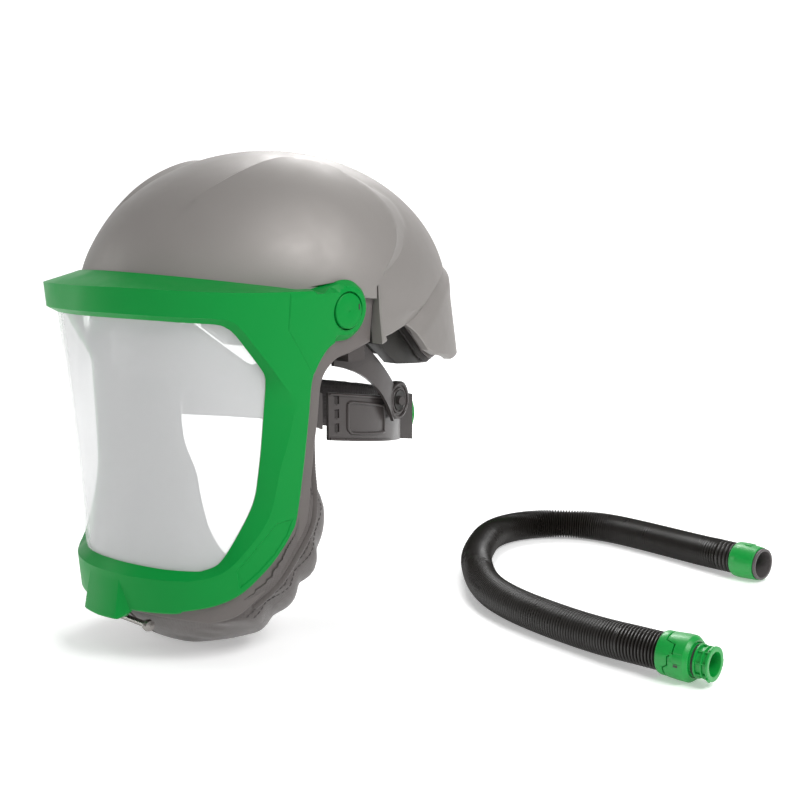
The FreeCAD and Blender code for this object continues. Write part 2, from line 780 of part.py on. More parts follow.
def hanger_arms():
    """Curved arm from inside the hinge down to the nape band, with a round boss."""
    arm_edge = outline("arm_edge", (9, -22), (33, -22), ((62, -44), (84, -62)), (78, -84), ((54, -58), (9, -38)))
    arm_block = across("arm_side", arm_edge)
    tall = elliptic_block("arm_outer", 92.5, 113.5, 20, -120, 20)
    wall = size("arm_wall")
    void = elliptic_block("arm_inner", 92.5 - wall, 113.5 - wall, 20, -130, 30)
    sheet_ring = common("arm_sheet", cut("arm_tube", tall, void), arm_block)
    half = box("arm_left_half", (20, -20, -120), (140, 140, 20))
    blade = common("arm_blade", sheet_ring, half)
    boss_x = 73.4
    boss = add("Part::Cylinder", "arm_boss")
    bind(boss, Radius="Sizes.boss_radius", Height="Sizes.boss_thick + 1")
    lean = FreeCAD.Rotation(Z_AXIS, 14).multVec(X_AXIS)
    boss.Placement = FreeCAD.Placement(Vec(boss_x, size("boss_y"), -size("boss_drop")),
                                       FreeCAD.Rotation(Z_AXIS, lean))
    bore = cylinder("arm_bore", "3.3 mm", (60, size("boss_y"), -size("boss_drop")), (1, 0, 0), 40)
    left = cut("hanger_arm_left", fuse("arm_whole", blade, boss), bore)
    mirrored("hanger_arm_right", left)
    block = box("anchor_block", (88, 9, -34), (size("seal_apex") - 4.4, 24, -20))
    outside = elliptic_block("anchor_seat", 92.5, 113.5, 20, -120, 20)
    anchor = cut("arm_anchor_left", block, outside, doc.getObject("face_seal_frame"))
    mirrored("arm_anchor_right", anchor)


def boss_pins():
    """Pin through each boss and the nape band, with a wide head outside."""
    for side, name in ((1, "left"), (-1, "right")):
        body = add("PartDesign::Body", "boss_pin_" + name)
        turned(body, ((0, 0), (6.5, 0), (6.5, 1.6), (3, 1.6), (3, 18.5), (0, 18.5)))
        body.Placement = FreeCAD.Placement(Vec(side * 62.5, size("boss_y"), -size("boss_drop")),
                                           FreeCAD.Rotation(Z_AXIS, Vec(side, 0, 0)))


def half_ring(name, half_span, height, wall, width, along_x):
    """A strap bent into half an ellipse over the head."""
    rims = []
    for inset in (0, wall):
        curve = ellipse(Vec(0, 0, 0), Vec(half_span - inset, 0, 0), Vec(0, 0, height - inset))
        rims.append(Part.Face(Part.Wire([curve.toShape()])))
    ring = rims[0].cut(rims[1]).extrude(Vec(0, width, 0))
    upper = Part.makeBox(2 * half_span + 20, 2 * width, 2 * height, Vec(-half_span - 10, -width / 2, 0))
    strap = ring.common(upper)
    strap.translate(Vec(0, -width / 2, 0))
    if not along_x:
        strap.rotate(Vec(0, 0, 0), Z_AXIS, 90)
    strap.translate(Vec(0, size("band_centre_y") - 6, 0))
    return feature(name, strap)


def crown_suspension():
    """Two straps that cross over the head, their clips and the pad at the crossing."""
    width = size("strap_width")
    wall = size("strap_wall")
    half_ring("crown_strap_long", 108, 90, wall, width, False)
    half_ring("crown_strap_cross", 86, 88, wall, width, True)
    middle = size("band_centre_y") - 6
    cylinder("crown_pad", "30 mm", (0, middle, 72), (0, 0, 1), 8.4)
    clips = []
    places = ((-12, middle - 126.5, 12, middle - 108.4), (-12, middle + 108.4, 12, middle + 146),
              (86.4, middle - 12, 102.3, middle + 12), (-102.3, middle - 12, -86.4, middle + 12))
    for index, (low_x, low_y, high_x, high_y) in enumerate(places):
        clips.append(box("strap_clip_%d" % index, (low_x, low_y, 1), (high_x, high_y, 15)))
    fuse("strap_clips", *clips)


# ---------------------------------------------------------------- breathing tube

# x, y and how far the tube is lifted off its resting surface by a connector
ROUTE = (
    (283, 113, 2.4), (262, 112, 2.4), (242, 114, 1), (221, 117, 0), (200, 119.4, 0), (179, 123, 0),
    (158, 127.5, 0), (138, 134, 0), (118, 143, 0), (96, 158, 0), (72, 180, 0), (46, 208, 0), (25, 240, 0),
    (10.5, 266, 0), (3.5, 291, 0), (6.5, 317.5, 0), (20, 341, 0), (42, 357, 0), (68, 363.5, 0),
    (95, 362, 0), (121, 359, 0), (147, 355.5, 0), (171, 350.5, 0.6), (188, 346.5, 1.7), (204, 345, 1.7),
)


def route_points():
    floor = size("hose_diameter") / 2 - size("floor_drop")
    return [Vec(x, y, floor + lift) for x, y, lift in ROUTE]


SMALLEST_BEND = 2.0
ARC_SHARE = 0.45


def rounded_path(points):
    """Straight runs joined by tangent arcs as large as their runs allow."""
    edges = []
    radii = []
    here = points[0]
    for before, corner, after in zip(points[:-2], points[1:-1], points[2:]):
        back = before - corner
        ahead = after - corner
        shorter = min(back.Length, ahead.Length)
        turn = math.pi - back.getAngle(ahead)
        reach = ARC_SHARE * shorter
        radius = reach / math.tan(turn / 2)
        radii.append(radius)
        back.normalize()
        ahead.normalize()
        enter = corner + back * reach
        leave = corner + ahead * reach
        to_centre = (back + ahead).normalize()
        centre = corner + to_centre * (radius / math.cos(turn / 2))
        middle = centre - to_centre * radius
        edges.append(Part.LineSegment(here, enter).toShape())
        edges.append(Part.Arc(enter, middle, leave).toShape())
        here = leave
    edges.append(Part.LineSegment(here, points[-1]).toShape())
    return Part.Wire(edges), radii


def breathing_tube():
    """The corrugated tube's outer size, as a plain tube along its route."""
    points = route_points()
    wire, radii = rounded_path(points)
    start = points[0]
    ahead = points[1] - points[0]
    radius = size("hose_diameter") / 2
    circle = Part.Wire([Part.Circle(start, ahead, radius).toShape()])
    solid = wire.makePipeShell([circle], True, True)
    expected = math.pi * radius ** 2 * wire.Length
    print("tube length %.1f mm, volume ratio %.4f" % (wire.Length, solid.Volume / expected))
    print("radii in mm:", " ".join("%.0f" % value for value in radii))
    if min(radii) < SMALLEST_BEND * size("hose_diameter"):
        tightest = min(radii) / size("hose_diameter")
        print("smallest radius is under %.1f diameters: %.1f" % (SMALLEST_BEND, tightest))
    feature("breathing_tube", solid)
    return points


def aimed(start, towards):
    """Placement that puts a body's Z axis along a direction."""
    return FreeCAD.Placement(start, FreeCAD.Rotation(Z_AXIS, towards))


def tube_ends(points):
    """Connectors at both ends of the tube, each with its turning collar."""
    near = points[0]
    out = (points[0] - points[1]).normalize()
    cuff = add("PartDesign::Body", "near_cuff")
    turned(cuff, ((0, 0), (14.2, 0), (14.2, 7.6), (12.6, 7.8), (12.6, 12), (0, 12)))
    cuff.Placement = aimed(near, out)
    collar = add("PartDesign::Body", "near_collar")
    turned(collar, ((12.9, 8.1), (14.4, 8.1), (14.9, 9.2), (14.9, 19.6), (12.8, 22.4), (11.2, 22.4),
                    (11.2, 12.6), (12.9, 12.6)))
    collar.Placement = aimed(near, out)
    nozzle = add("PartDesign::Body", "near_nozzle")
    turned(nozzle, ((7.8, 12.3), (10.8, 12.3), (10.8, 22.8), (9.3, 23), (9.3, 24.4), (11, 24.4), (11, 25.8),
                    (9.3, 25.8), (9.3, 32.9), (11, 32.9), (11, 34.6), (7.8, 34.6)))
    nozzle.Placement = aimed(near, out)
    far = points[-1]
    onward = (points[-1] - points[-2]).normalize()
    sleeve = add("PartDesign::Body", "far_collar")
    turned(sleeve, ((0, 0), (13, 0), (13.9, 1.4), (14.2, 6), (13.1, 20.8), (12.8, 21.4), (11.9, 21.4), (11.9, 3.5),
                    (0, 3.5)))
    sleeve.Placement = aimed(far, onward)
    ring = add("PartDesign::Body", "far_ring")
    turned(ring, ((10.4, 5), (11.6, 5), (11.6, 21.8), (12.4, 21.8), (12.4, 24), (10.4, 24)))
    ring.Placement = aimed(far, onward)


# ---------------------------------------------------------------- build and write

crown_shell()
brow_gasket()
visor_frame()
visor_lens()
lens_gasket()
face_seal_frame()
face_seal()
air_plenum()
inlet_plates()
air_inlet_socket()
pivot_caps()
hinge_pins()
chin_catch()
harness_bands()
ratchet_knob()
hanger_arms()
boss_pins()
crown_suspension()
tube_ends(breathing_tube())

NODES = (
    "crown_shell", "brow_gasket", "face_seal_frame", "face_seal", "air_plenum", "inlet_flange", "inlet_gasket",
    "air_inlet_socket", "crown_strap_long", "crown_strap_cross", "strap_clips", "crown_pad", "headband",
    "brow_pad", "hanger_arm_left", "hanger_arm_right", "arm_anchor_left", "arm_anchor_right",
    "boss_pin_left", "boss_pin_right", "hinge_pin_left", "hinge_pin_right", "chin_catch",
    "visor_frame", "visor_lens", "lens_gasket", "pivot_cap_left", "pivot_cap_right",
    "nape_band", "nape_pad", "ratchet_housing", "ratchet_knob",
    "breathing_tube", "near_cuff", "near_collar", "near_nozzle", "far_collar", "far_ring",
)

doc.recompute()
for thing in doc.Objects:
    if "Invalid" in thing.State or "Error" in thing.State:
        raise RuntimeError("%s is in state %s" % (thing.Label, thing.State))
os.makedirs("parts", exist_ok=True)
for label in NODES:
    shape = doc.getObjectsByLabel(label)[0].Shape
    if shape.isNull() or not shape.isValid():
        raise RuntimeError("%s has no valid shape" % label)
    shape.exportStep("parts/%s.step" % label)
    reach = shape.BoundBox
    print("%-18s solids %d volume %8.1f  x %6.1f..%6.1f y %6.1f..%6.1f z %6.1f..%6.1f" % (
        label, len(shape.Solids), shape.Volume, reach.XMin, reach.XMax, reach.YMin, reach.YMax, reach.ZMin,
        reach.ZMax))
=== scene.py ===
"""Looks of the powered air respirator: helmet shell, flip-up visor, face seal, harness and breathing tube.

The frame is the CAD model's: +Z up, the wearer faces -Y and the wearer's left is +X. Shapes below are
worked out in millimetres and turned into metres when their mesh is made.
"""
import math

import bmesh
import bpy
import numpy as np
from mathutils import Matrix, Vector
from mathutils.geometry import delaunay_2d_cdt


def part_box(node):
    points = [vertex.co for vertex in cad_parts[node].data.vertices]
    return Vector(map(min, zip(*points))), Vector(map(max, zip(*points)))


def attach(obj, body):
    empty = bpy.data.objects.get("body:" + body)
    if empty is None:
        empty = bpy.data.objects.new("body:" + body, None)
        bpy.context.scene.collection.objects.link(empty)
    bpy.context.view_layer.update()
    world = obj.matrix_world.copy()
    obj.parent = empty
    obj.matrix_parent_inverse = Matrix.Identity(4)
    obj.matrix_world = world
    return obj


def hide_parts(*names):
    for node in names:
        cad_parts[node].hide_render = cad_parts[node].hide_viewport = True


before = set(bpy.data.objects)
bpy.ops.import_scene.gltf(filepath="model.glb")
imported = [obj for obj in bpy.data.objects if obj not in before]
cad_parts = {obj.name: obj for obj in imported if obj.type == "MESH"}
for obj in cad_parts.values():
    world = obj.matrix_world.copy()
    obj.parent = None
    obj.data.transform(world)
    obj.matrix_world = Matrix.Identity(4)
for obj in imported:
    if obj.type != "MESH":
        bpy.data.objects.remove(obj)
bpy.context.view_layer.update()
MM = 0.001
scene = bpy.context.scene

# ---------------------------------------------------------------- camera, floor and light

EYE = Vector((0.70066, -0.56490, 0.06281))
LOOK = Vector((-0.68386, 0.71492, -0.14575))
LENS_MM = 57.94
SENSOR_MM = 36.0
NEAR_CLIP = 0.02
WORLD_STRENGTH = 0.30
FLOOR_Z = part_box("breathing_tube")[0].z
MIDDLE = (0.03, 0.03, -0.03)

# name, place, target, size, watts
LIGHTS = (("key", (1.02, 0.05, 0.80), MIDDLE, (0.6, 0.6), 11.5),
          ("front_fill", (0.55, -1.25, 0.30), MIDDLE, (0.5, 0.7), 1.2),
          ("far_strip", (-0.75, -0.62, 0.16), (-0.04, -0.06, -0.05), (0.12, 0.7), 2.6),
          ("rim", (-0.50, 0.78, 0.85), (0.02, 0.02, 0.05), (0.5, 0.35), 9.0),
          ("floor_wash", (-0.1, 0.9, 2.2), (-0.1, 0.9, -0.22), (2.6, 2.6), 7.0),
          ("back_wash", (-0.6, 0.9, 1.5), (-2.0, 2.3, 0.5), (2.4, 1.6), 24.0))


def aimed(thing, place, way):
    """Puts a camera or lamp at a place, facing along a direction."""
    thing.location = place
    thing.rotation_mode = "QUATERNION"
    thing.rotation_quaternion = way.to_track_quat("-Z", "Y")
    scene.collection.objects.link(thing)


def make_camera():
    data = bpy.data.cameras.new("view")
    data.lens = LENS_MM
    data.sensor_width = SENSOR_MM
    data.clip_start = NEAR_CLIP
    camera = bpy.data.objects.new("view", data)
    aimed(camera, EYE, LOOK)
    scene.camera = camera


def area_light(name, place, target, size, power):
    data = bpy.data.lights.new(name, "AREA")
    data.shape = "RECTANGLE"
    data.size, data.size_y = size
    data.energy = power
    aimed(bpy.data.objects.new(name, data), place, Vector(target) - Vector(place))


def make_studio():
    scene.view_settings.view_transform = "Standard"
    world = bpy.data.worlds.new("studio")
    world.use_nodes = True
    background = world.node_tree.nodes["Background"]
    background.inputs["Color"].default_value = (1.0, 1.0, 1.0, 1)
    background.inputs["Strength"].default_value = WORLD_STRENGTH
    scene.world = world
    for light in LIGHTS:
        area_light(*light)


# ---------------------------------------------------------------- materials

def srgb(r, g, b):
    """Colour from 0-255 screen values to linear."""
    def one(v):
        v /= 255.0
        return v / 12.92 if v <= 0.04045 else ((v + 0.055) / 1.055) ** 2.4
    return (one(r), one(g), one(b), 1.0)


def shaded(colour, factor):
    return tuple(min(1.0, c * factor) for c in colour[:3]) + (1.0,)


class Shader:
    """A Principled material and small helpers to add procedural detail to it."""

    def __init__(self, name, colour, roughness, **sockets):
        self.material = bpy.data.materials.new(name)
        self.material.use_nodes = True
        self.tree = self.material.node_tree
        self.base = self.tree.nodes["Principled BSDF"]
        self.colour = colour
        self.base.inputs["Base Color"].default_value = colour
        self.base.inputs["Roughness"].default_value = roughness
        for socket, value in sockets.items():
            self.base.inputs[socket.replace("_", " ")].default_value = value
        self.coords = self.add("ShaderNodeTexCoord")
        self.height = None

    def add(self, kind, **values):
        node = self.tree.nodes.new(kind)
        for name, value in values.items():
            if name in node.inputs:
                node.inputs[name].default_value = value
            else:
                setattr(node, name, value)
        return node

    def link(self, out, into):
        self.tree.links.new(out, into)

    def noise(self, scale, detail=4.0, space="Object", stretch=(1, 1, 1)):
        place = self.add("ShaderNodeMapping")
        place.inputs["Scale"].default_value = stretch
        self.link(self.coords.outputs[space], place.inputs["Vector"])
        node = self.add("ShaderNodeTexNoise", Scale=scale, Detail=detail)
        self.link(place.outputs["Vector"], node.inputs["Vector"])
        return node.outputs["Fac"]

    def spread(self, fac, low, high, start=0.3, stop=0.7):
        node = self.add("ShaderNodeMapRange")
        node.inputs["From Min"].default_value = start
        node.inputs["From Max"].default_value = stop
        node.inputs["To Min"].default_value = low
        node.inputs["To Max"].default_value = high
        self.link(fac, node.inputs["Value"])
        return node.outputs["Result"]

    def vary_colour(self, fac, dark, light):
        mix = self.add("ShaderNodeMix", data_type="RGBA")
        ends = {"A": shaded(self.colour, dark), "B": shaded(self.colour, light)}
        for socket in mix.inputs:
            if socket.type == "RGBA":
                socket.default_value = ends[socket.name]
        self.link(fac, mix.inputs["Factor"])
        out = [s for s in mix.outputs if s.type == "RGBA"][0]
        self.link(out, self.base.inputs["Base Color"])

    def vary_roughness(self, fac, low, high):
        self.link(self.spread(fac, low, high), self.base.inputs["Roughness"])

    def relief(self, fac, depth_mm, strength=1.0):
        """Adds a height to the surface's bump."""
        bump = self.add("ShaderNodeBump", Strength=strength, Distance=depth_mm * MM)
        self.link(fac, bump.inputs["Height"])
        if self.height is not None:
            self.link(self.height, bump.inputs["Normal"])
        self.height = bump.outputs["Normal"]
        self.link(self.height, self.base.inputs["Normal"])

    def wave(self, per_metre, direction, space):
        node = self.add("ShaderNodeTexWave", Scale=per_metre / 3.14159 / 2, Distortion=0.6)
        node.inputs["Detail"].default_value = 1.0
        node.inputs["Detail Scale"].default_value = 2.0
        node.bands_direction = direction
        self.link(self.coords.outputs[space], node.inputs["Vector"])
        return node.outputs["Fac"]

    def multiply(self, one, other, operation="MULTIPLY"):
        node = self.add("ShaderNodeMath", operation=operation)
        self.link(one, node.inputs[0])
        self.link(other, node.inputs[1])
        return node.outputs["Value"]


def moulded(name, colour, roughness, grain, depth, spread, sockets):
    """Injection-moulded plastic with a fine spark-eroded texture."""
    shader = Shader(name, srgb(*colour), roughness, **sockets)
    shader.vary_colour(shader.noise(9, 3), 1 - spread, 1 + spread)
    shader.vary_roughness(shader.noise(60, 5), roughness - 0.05, roughness + 0.06)
    shader.relief(shader.noise(grain, 2), depth)
    return shader.material


def woven(name, colour, weave_scale, depth, space, sheen, roughness):
    """Plain-weave cloth: two crossed wave bands, fuzz and slow shade changes."""
    shader = Shader(name, srgb(*colour), roughness, Sheen_Weight=sheen, Sheen_Roughness=0.5)
    warp = shader.wave(weave_scale, "X", space)
    weft = shader.wave(weave_scale, "Y" if space == "UV" else "Z", space)
    weave = shader.multiply(warp, weft, "MAXIMUM")
    shader.vary_colour(shader.multiply(weave, shader.noise(14, 4)), 0.78, 1.25)
    shader.vary_roughness(shader.noise(300, 3), roughness - 0.08, roughness + 0.06)
    shader.relief(weave, depth)
    shader.relief(shader.noise(40, 4), 0.4, 0.5)
    return shader.material


def steel():
    shader = Shader("catch_steel", srgb(150, 146, 143), 0.3, Metallic=1.0)
    shader.vary_roughness(shader.noise(400, 3, stretch=(1, 12, 12)), 0.22, 0.4)
    shader.relief(shader.noise(900, 2), 0.02)
    return shader.material


def clear_sheet():
    # white at part opacity: painted reflection of the bright studio over the clear sheet
    shader = Shader("visor_sheet", (0.95, 0.96, 0.965, 1), 0.06, Alpha=0.36, Specular_IOR_Level=0.5, IOR=1.58)
    shader.vary_roughness(shader.noise(8, 3), 0.04, 0.09)
    shader.relief(shader.noise(2.5, 2), 0.15, 0.3)
    return shader.material


def floor_paper():
    shader = Shader("floor_paper", (0.93, 0.93, 0.93, 1), 0.9)
    shader.relief(shader.noise(200, 3), 0.05)
    shader.base.inputs["Emission Color"].default_value = (1, 1, 1, 1)
    shader.base.inputs["Emission Strength"].default_value = 0.34
    return shader.material


# name, colour, roughness, grain scale, grain depth in mm, change of shade, other sockets
MOULDED = {
    "shell": ("shell_metallic_grey", (142, 138, 135), 0.52, 1100, 0.03, 0.03,
              {"Metallic": 0.3, "Specular_IOR_Level": 0.35}),
    "green": ("visor_moulding", (0, 136, 54), 0.42, 1000, 0.03, 0.04, {"Specular_IOR_Level": 0.16}),
    "seal": ("seal_moulding", (100, 94, 92), 0.55, 700, 0.07, 0.06, {}),
    "dark": ("harness_moulding", (64, 59, 58), 0.32, 800, 0.05, 0.08, {}),
    "black": ("duct_moulding", (34, 32, 29), 0.5, 800, 0.06, 0.1, {}),
    "ring": ("ring_moulding", (86, 82, 82), 0.5, 700, 0.06, 0.08, {}),
    "connector": ("connector_moulding", (4, 150, 58), 0.35, 900, 0.04, 0.05, {}),
    "knob": ("knob_moulding", (22, 158, 62), 0.4, 900, 0.05, 0.05, {}),
    "hose": ("hose_elastomer", (30, 27, 24), 0.3, 500, 0.06, 0.12, {"Specular_IOR_Level": 0.55}),
    "rubber": ("gasket_rubber", (52, 48, 47), 0.65, 600, 0.06, 0.1, {}),
}

# name, colour, weave scale, weave depth in mm, coordinates, sheen, roughness
WOVEN = {
    "fabric": ("seal_fabric", (84, 78, 76), 1500, 0.05, "UV", 0.3, 0.62),
    "piping": ("piping_knit", (92, 86, 84), 900, 0.25, "UV", 0.3, 0.85),
    "pad": ("pad_knit", (70, 66, 66), 800, 0.2, "Object", 0.35, 0.85),
    "webbing": ("strap_webbing", (66, 62, 61), 700, 0.25, "Object", 0.3, 0.85),
    "thread": ("stitch_thread", (66, 61, 60), 2500, 0.1, "Object", 0.3, 0.85),
}


def make_materials():
    made = {kind: moulded(*values) for kind, values in MOULDED.items()}
    made.update({kind: woven(*values) for kind, values in WOVEN.items()})
    made["metal"] = steel()
    made["lens"] = clear_sheet()
    made["floor"] = floor_paper()
    return made


# ---------------------------------------------------------------- mesh helpers

def plan_length(a, b):
    """Quarter of an ellipse's length, by Ramanujan's formula."""
    return math.pi / 4 * (3 * (a + b) - math.sqrt((3 * a + b) * (a + 3 * b)))


def smooth_line(points, step):
    """Catmull-Rom curve through the points, sampled about every step."""
    pts = [np.array(p, float) for p in points]
    pts = [2 * pts[0] - pts[1]] + pts + [2 * pts[-1] - pts[-2]]
    out = []
    for p0, p1, p2, p3 in zip(pts[:-3], pts[1:-2], pts[2:-1], pts[3:]):
        count = max(1, int(np.linalg.norm(p2 - p1) / step))
        for i in range(count):
            t = i / count
            out.append(0.5 * (2 * p1 + (p2 - p0) * t + (2 * p0 - 5 * p1 + 4 * p2 - p3) * t ** 2
                              + (3 * p1 - p0 - 3 * p2 + p3) * t ** 3))
    out.append(pts[-2])
    return out


def straight_line(points, step):
    """Polyline through the points, sampled about every step."""
    out = []
    for a, b in zip(points[:-1], points[1:]):
        a, b = np.array(a, float), np.array(b, float)
        count = max(1, int(round(np.linalg.norm(b - a) / step)))
        out += [a + (b - a) * i / count for i in range(count)]
    out.append(np.array(points[-1], float))
    return out


def arc(centre, radius, start, stop, step):
    """Arc in degrees, anticlockwise if stop is larger."""
    count = max(2, int(abs(math.radians(stop - start)) * radius / step))
    angles = [math.radians(start + (stop - start) * i / count) for i in range(count + 1)]
    return [np.array((centre[0] + radius * math.cos(t), centre[1] + radius * math.sin(t))) for t in angles]


def inside(points, polygon):
    """Which points lie inside a closed polygon."""
    x, y = points[:, 0], points[:, 1]
    hit = np.zeros(len(points), bool)
    poly = np.asarray(polygon)
    for (x0, y0), (x1, y1) in zip(poly, np.roll(poly, -1, axis=0)):
        if y0 == y1:
            continue
        cross = (y0 > y) != (y1 > y)
        hit ^= cross & (x < (x1 - x0) * (y - y0) / (y1 - y0) + x0)
    return hit


def distance(points, line, closed=False):
    """Distance from each point to a polyline."""
    line = np.asarray(line)
    ends = np.roll(line, -1, axis=0) if closed else line[1:]
    starts = line if closed else line[:-1]
    best = np.full(len(points), 1e9)
    for a, b in zip(starts, ends):
        d = b - a
        length = d @ d
        if length < 1e-12:
            continue
        t = np.clip(((points - a) @ d) / length, 0, 1)
        best = np.minimum(best, np.linalg.norm(points - (a + t[:, None] * d), axis=1))
    return best


def thinned(line, least):
    """Drops points that lie closer than least to the one before."""
    out = [line[0]]
    for p in line[1:]:
        if np.linalg.norm(p - out[-1]) >= least:
            out.append(p)
    return out


def cross_axes(way):
    """Level and upward unit axes across a direction."""
    across = np.cross(way, (0, 0, 1))
    across /= np.linalg.norm(across)
    return across, np.cross(across, way)


def tube_faces(rings, sides):
    """Faces of a closed tube whose rings of points follow one another."""
    faces = []
    for i in range(rings - 1):
        for k in range(sides):
            a, b = i * sides + k, i * sides + (k + 1) % sides
            faces.append((a, b, b + sides, a + sides))
    faces.append(tuple(range(sides))[::-1])
    faces.append(tuple((rings - 1) * sides + k for k in range(sides)))
    return faces


def joined(parts):
    """Several (vertices, faces) lumps as one."""
    verts, faces = [], []
    for v, f in parts:
        first = len(verts)
        verts += list(v)
        faces += [tuple(i + first for i in face) for face in f]
    return verts, faces


def offset_loop(loop, amount):
    """A closed loop moved inwards by an amount; the loop runs anticlockwise."""
    pts = np.asarray(loop)
    ahead = np.roll(pts, -1, axis=0) - np.roll(pts, 1, axis=0)
    ahead /= np.linalg.norm(ahead, axis=1)[:, None]
    moved = pts + amount * np.stack([-ahead[:, 1], ahead[:, 0]], axis=1)
    keep = distance(moved, pts, True) > 0.92 * abs(amount)
    return [p for p, k in zip(moved, keep) if k]


ROW_SHARE = 0.866


def triangulated(loop, holes, lines, spacing):
    """Triangles over a plane region: its closed loops and inner lines become mesh edges."""
    points, edges = [], []

    def add(line, closed):
        first = len(points)
        points.extend(line)
        count = len(line)
        edges.extend((first + i, first + i + 1) for i in range(count - 1))
        if closed:
            edges.append((first + count - 1, first))

    add(loop, True)
    for hole in holes:
        add(hole, True)
    for line in lines:
        add(line, False)
    fixed = np.array(points)
    low, high = fixed.min(0), fixed.max(0)
    rows = np.arange(low[1], high[1], spacing * ROW_SHARE)
    grid = np.array([(x + (spacing / 2 if i % 2 else 0), y) for i, y in enumerate(rows)
                     for x in np.arange(low[0], high[0], spacing)])
    grid = grid[inside(grid, loop)]
    for hole in holes:
        grid = grid[~inside(grid, hole)]
    near = np.full(len(grid), 1e9)
    for line, closed in [(loop, True)] + [(h, True) for h in holes] + [(g, False) for g in lines]:
        near = np.minimum(near, distance(grid, line, closed))
    grid = grid[near > 0.5 * spacing]
    everything = [Vector(p) for p in list(fixed) + list(grid)]
    verts, _, faces, _, _, _ = delaunay_2d_cdt(everything, edges, [], 0, 1e-5)
    verts = np.array([tuple(v) for v in verts])
    faces = np.array([tuple(f) for f in faces])
    middle = verts[faces].mean(axis=1)
    keep = inside(middle, loop)
    for hole in holes:
        keep &= ~inside(middle, hole)
    faces = faces[keep]
    a, b, c = (verts[faces[:, i]] for i in range(3))
    area = (b[:, 0] - a[:, 0]) * (c[:, 1] - a[:, 1]) - (b[:, 1] - a[:, 1]) * (c[:, 0] - a[:, 0])
    faces = faces[np.abs(area) > 1e-6]
    area = area[np.abs(area) > 1e-6]
    faces[area < 0] = faces[area < 0][:, ::-1]
    used, index = np.unique(faces, return_inverse=True)
    return verts[used], index.reshape(faces.shape)


def finished(name, verts, faces, material, body, slot, uvs=None, sharp=38.0, replaces=()):
    """A mesh object in metres from millimetre points, with crisp edges past an angle."""
    mesh = bpy.data.meshes.new(name)
    mesh.from_pydata([Vector(v) * MM for v in verts], [], [tuple(int(i) for i in f) for f in faces])
    if uvs is not None:
        layer = mesh.uv_layers.new(name="flat")
        for loop in mesh.loops:
            u, v = uvs[loop.vertex_index]
            layer.data[loop.index].uv = (u * MM, v * MM)
    work = bmesh.new()
    work.from_mesh(mesh)
    bmesh.ops.remove_doubles(work, verts=work.verts, dist=1e-6)
    bmesh.ops.recalc_face_normals(work, faces=work.faces)
    for face in work.faces:
        face.smooth = True
    limit = math.radians(sharp)
    for edge in work.edges:
        edge.smooth = not (len(edge.link_faces) == 2 and edge.calc_face_angle(0) > limit)
    work.to_mesh(mesh)
    work.free()
    mesh.materials.append(material)
    thing = bpy.data.objects.new(name, mesh)
    scene.collection.objects.link(thing)
    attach(thing, body)
    if replaces:
        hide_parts(*replaces)
    return thing


def walled(flat, faces, outer, inner):
    """Closed wall between two placements of one flat triangulation."""
    count = len(flat)
    verts = np.vstack([outer, inner])
    solid = [tuple(f) for f in faces] + [tuple(f[::-1] + count) for f in faces]
    seen = {}
    for f in faces:
        for i in range(3):
            seen[(f[i], f[(i + 1) % 3])] = True
    for (a, b) in seen:
        if (b, a) not in seen:
            solid.append((b, a, a + count, b + count))
    return verts, solid, np.vstack([flat, flat])


def ramp(value, low, high):
    t = np.clip((value - low) / (high - low), 0, 1)
    return t * t * (3 - 2 * t)


# ---------------------------------------------------------------- the crown shell

CROWN = np.array((108.0, 143.0, 104.0))
CROWN_Y = 35.0
EQUATOR = 165.0
SKIRT_FLARE = 5.5
SKIRT_DEPTH = 44.0
SHELL_WALL = 3.0
SWEEP_TALL = 7.2
SKIRT_SUNK = 3.4
COWL_BULGE = 6.2
CROWN_STEP = 3.0
FAR_OUT = 260.0


def crown_flat(y, z):
    """Side-view point on the left half to the flat disc that the shell unrolls to."""
    if z >= 0:
        tilt = math.acos(min(1.0, z / CROWN[2]))
        radius = EQUATOR * tilt / (math.pi / 2)
        reach = CROWN[1] * math.sin(tilt)
    else:
        radius = EQUATOR - z
        reach = CROWN[1] - SKIRT_FLARE * z / SKIRT_DEPTH
    turn = math.asin(max(-1.0, min(1.0, (y - CROWN_Y) / reach)))
    return np.array((radius * math.cos(turn), radius * math.sin(turn)))


def crown_point(flat, grow):
    """Flat disc points to the shell's surface, moved outwards by grow."""
    radius = np.linalg.norm(flat, axis=1)
    cos = np.divide(flat[:, 0], radius, out=np.zeros_like(radius), where=radius > 0)
    sin = np.divide(flat[:, 1], radius, out=np.zeros_like(radius), where=radius > 0)
    tilt = np.minimum(radius, EQUATOR) / EQUATOR * math.pi / 2
    drop = np.maximum(radius - EQUATOR, 0)
    flare = SKIRT_FLARE * drop / SKIRT_DEPTH
    x = (CROWN[0] + grow) * np.sin(tilt) * cos + flare * cos
    y = (CROWN[1] + grow) * np.sin(tilt) * sin + flare * sin + CROWN_Y
    z = (CROWN[2] + grow) * np.cos(tilt) - drop
    return np.stack([x, y, z], axis=1)


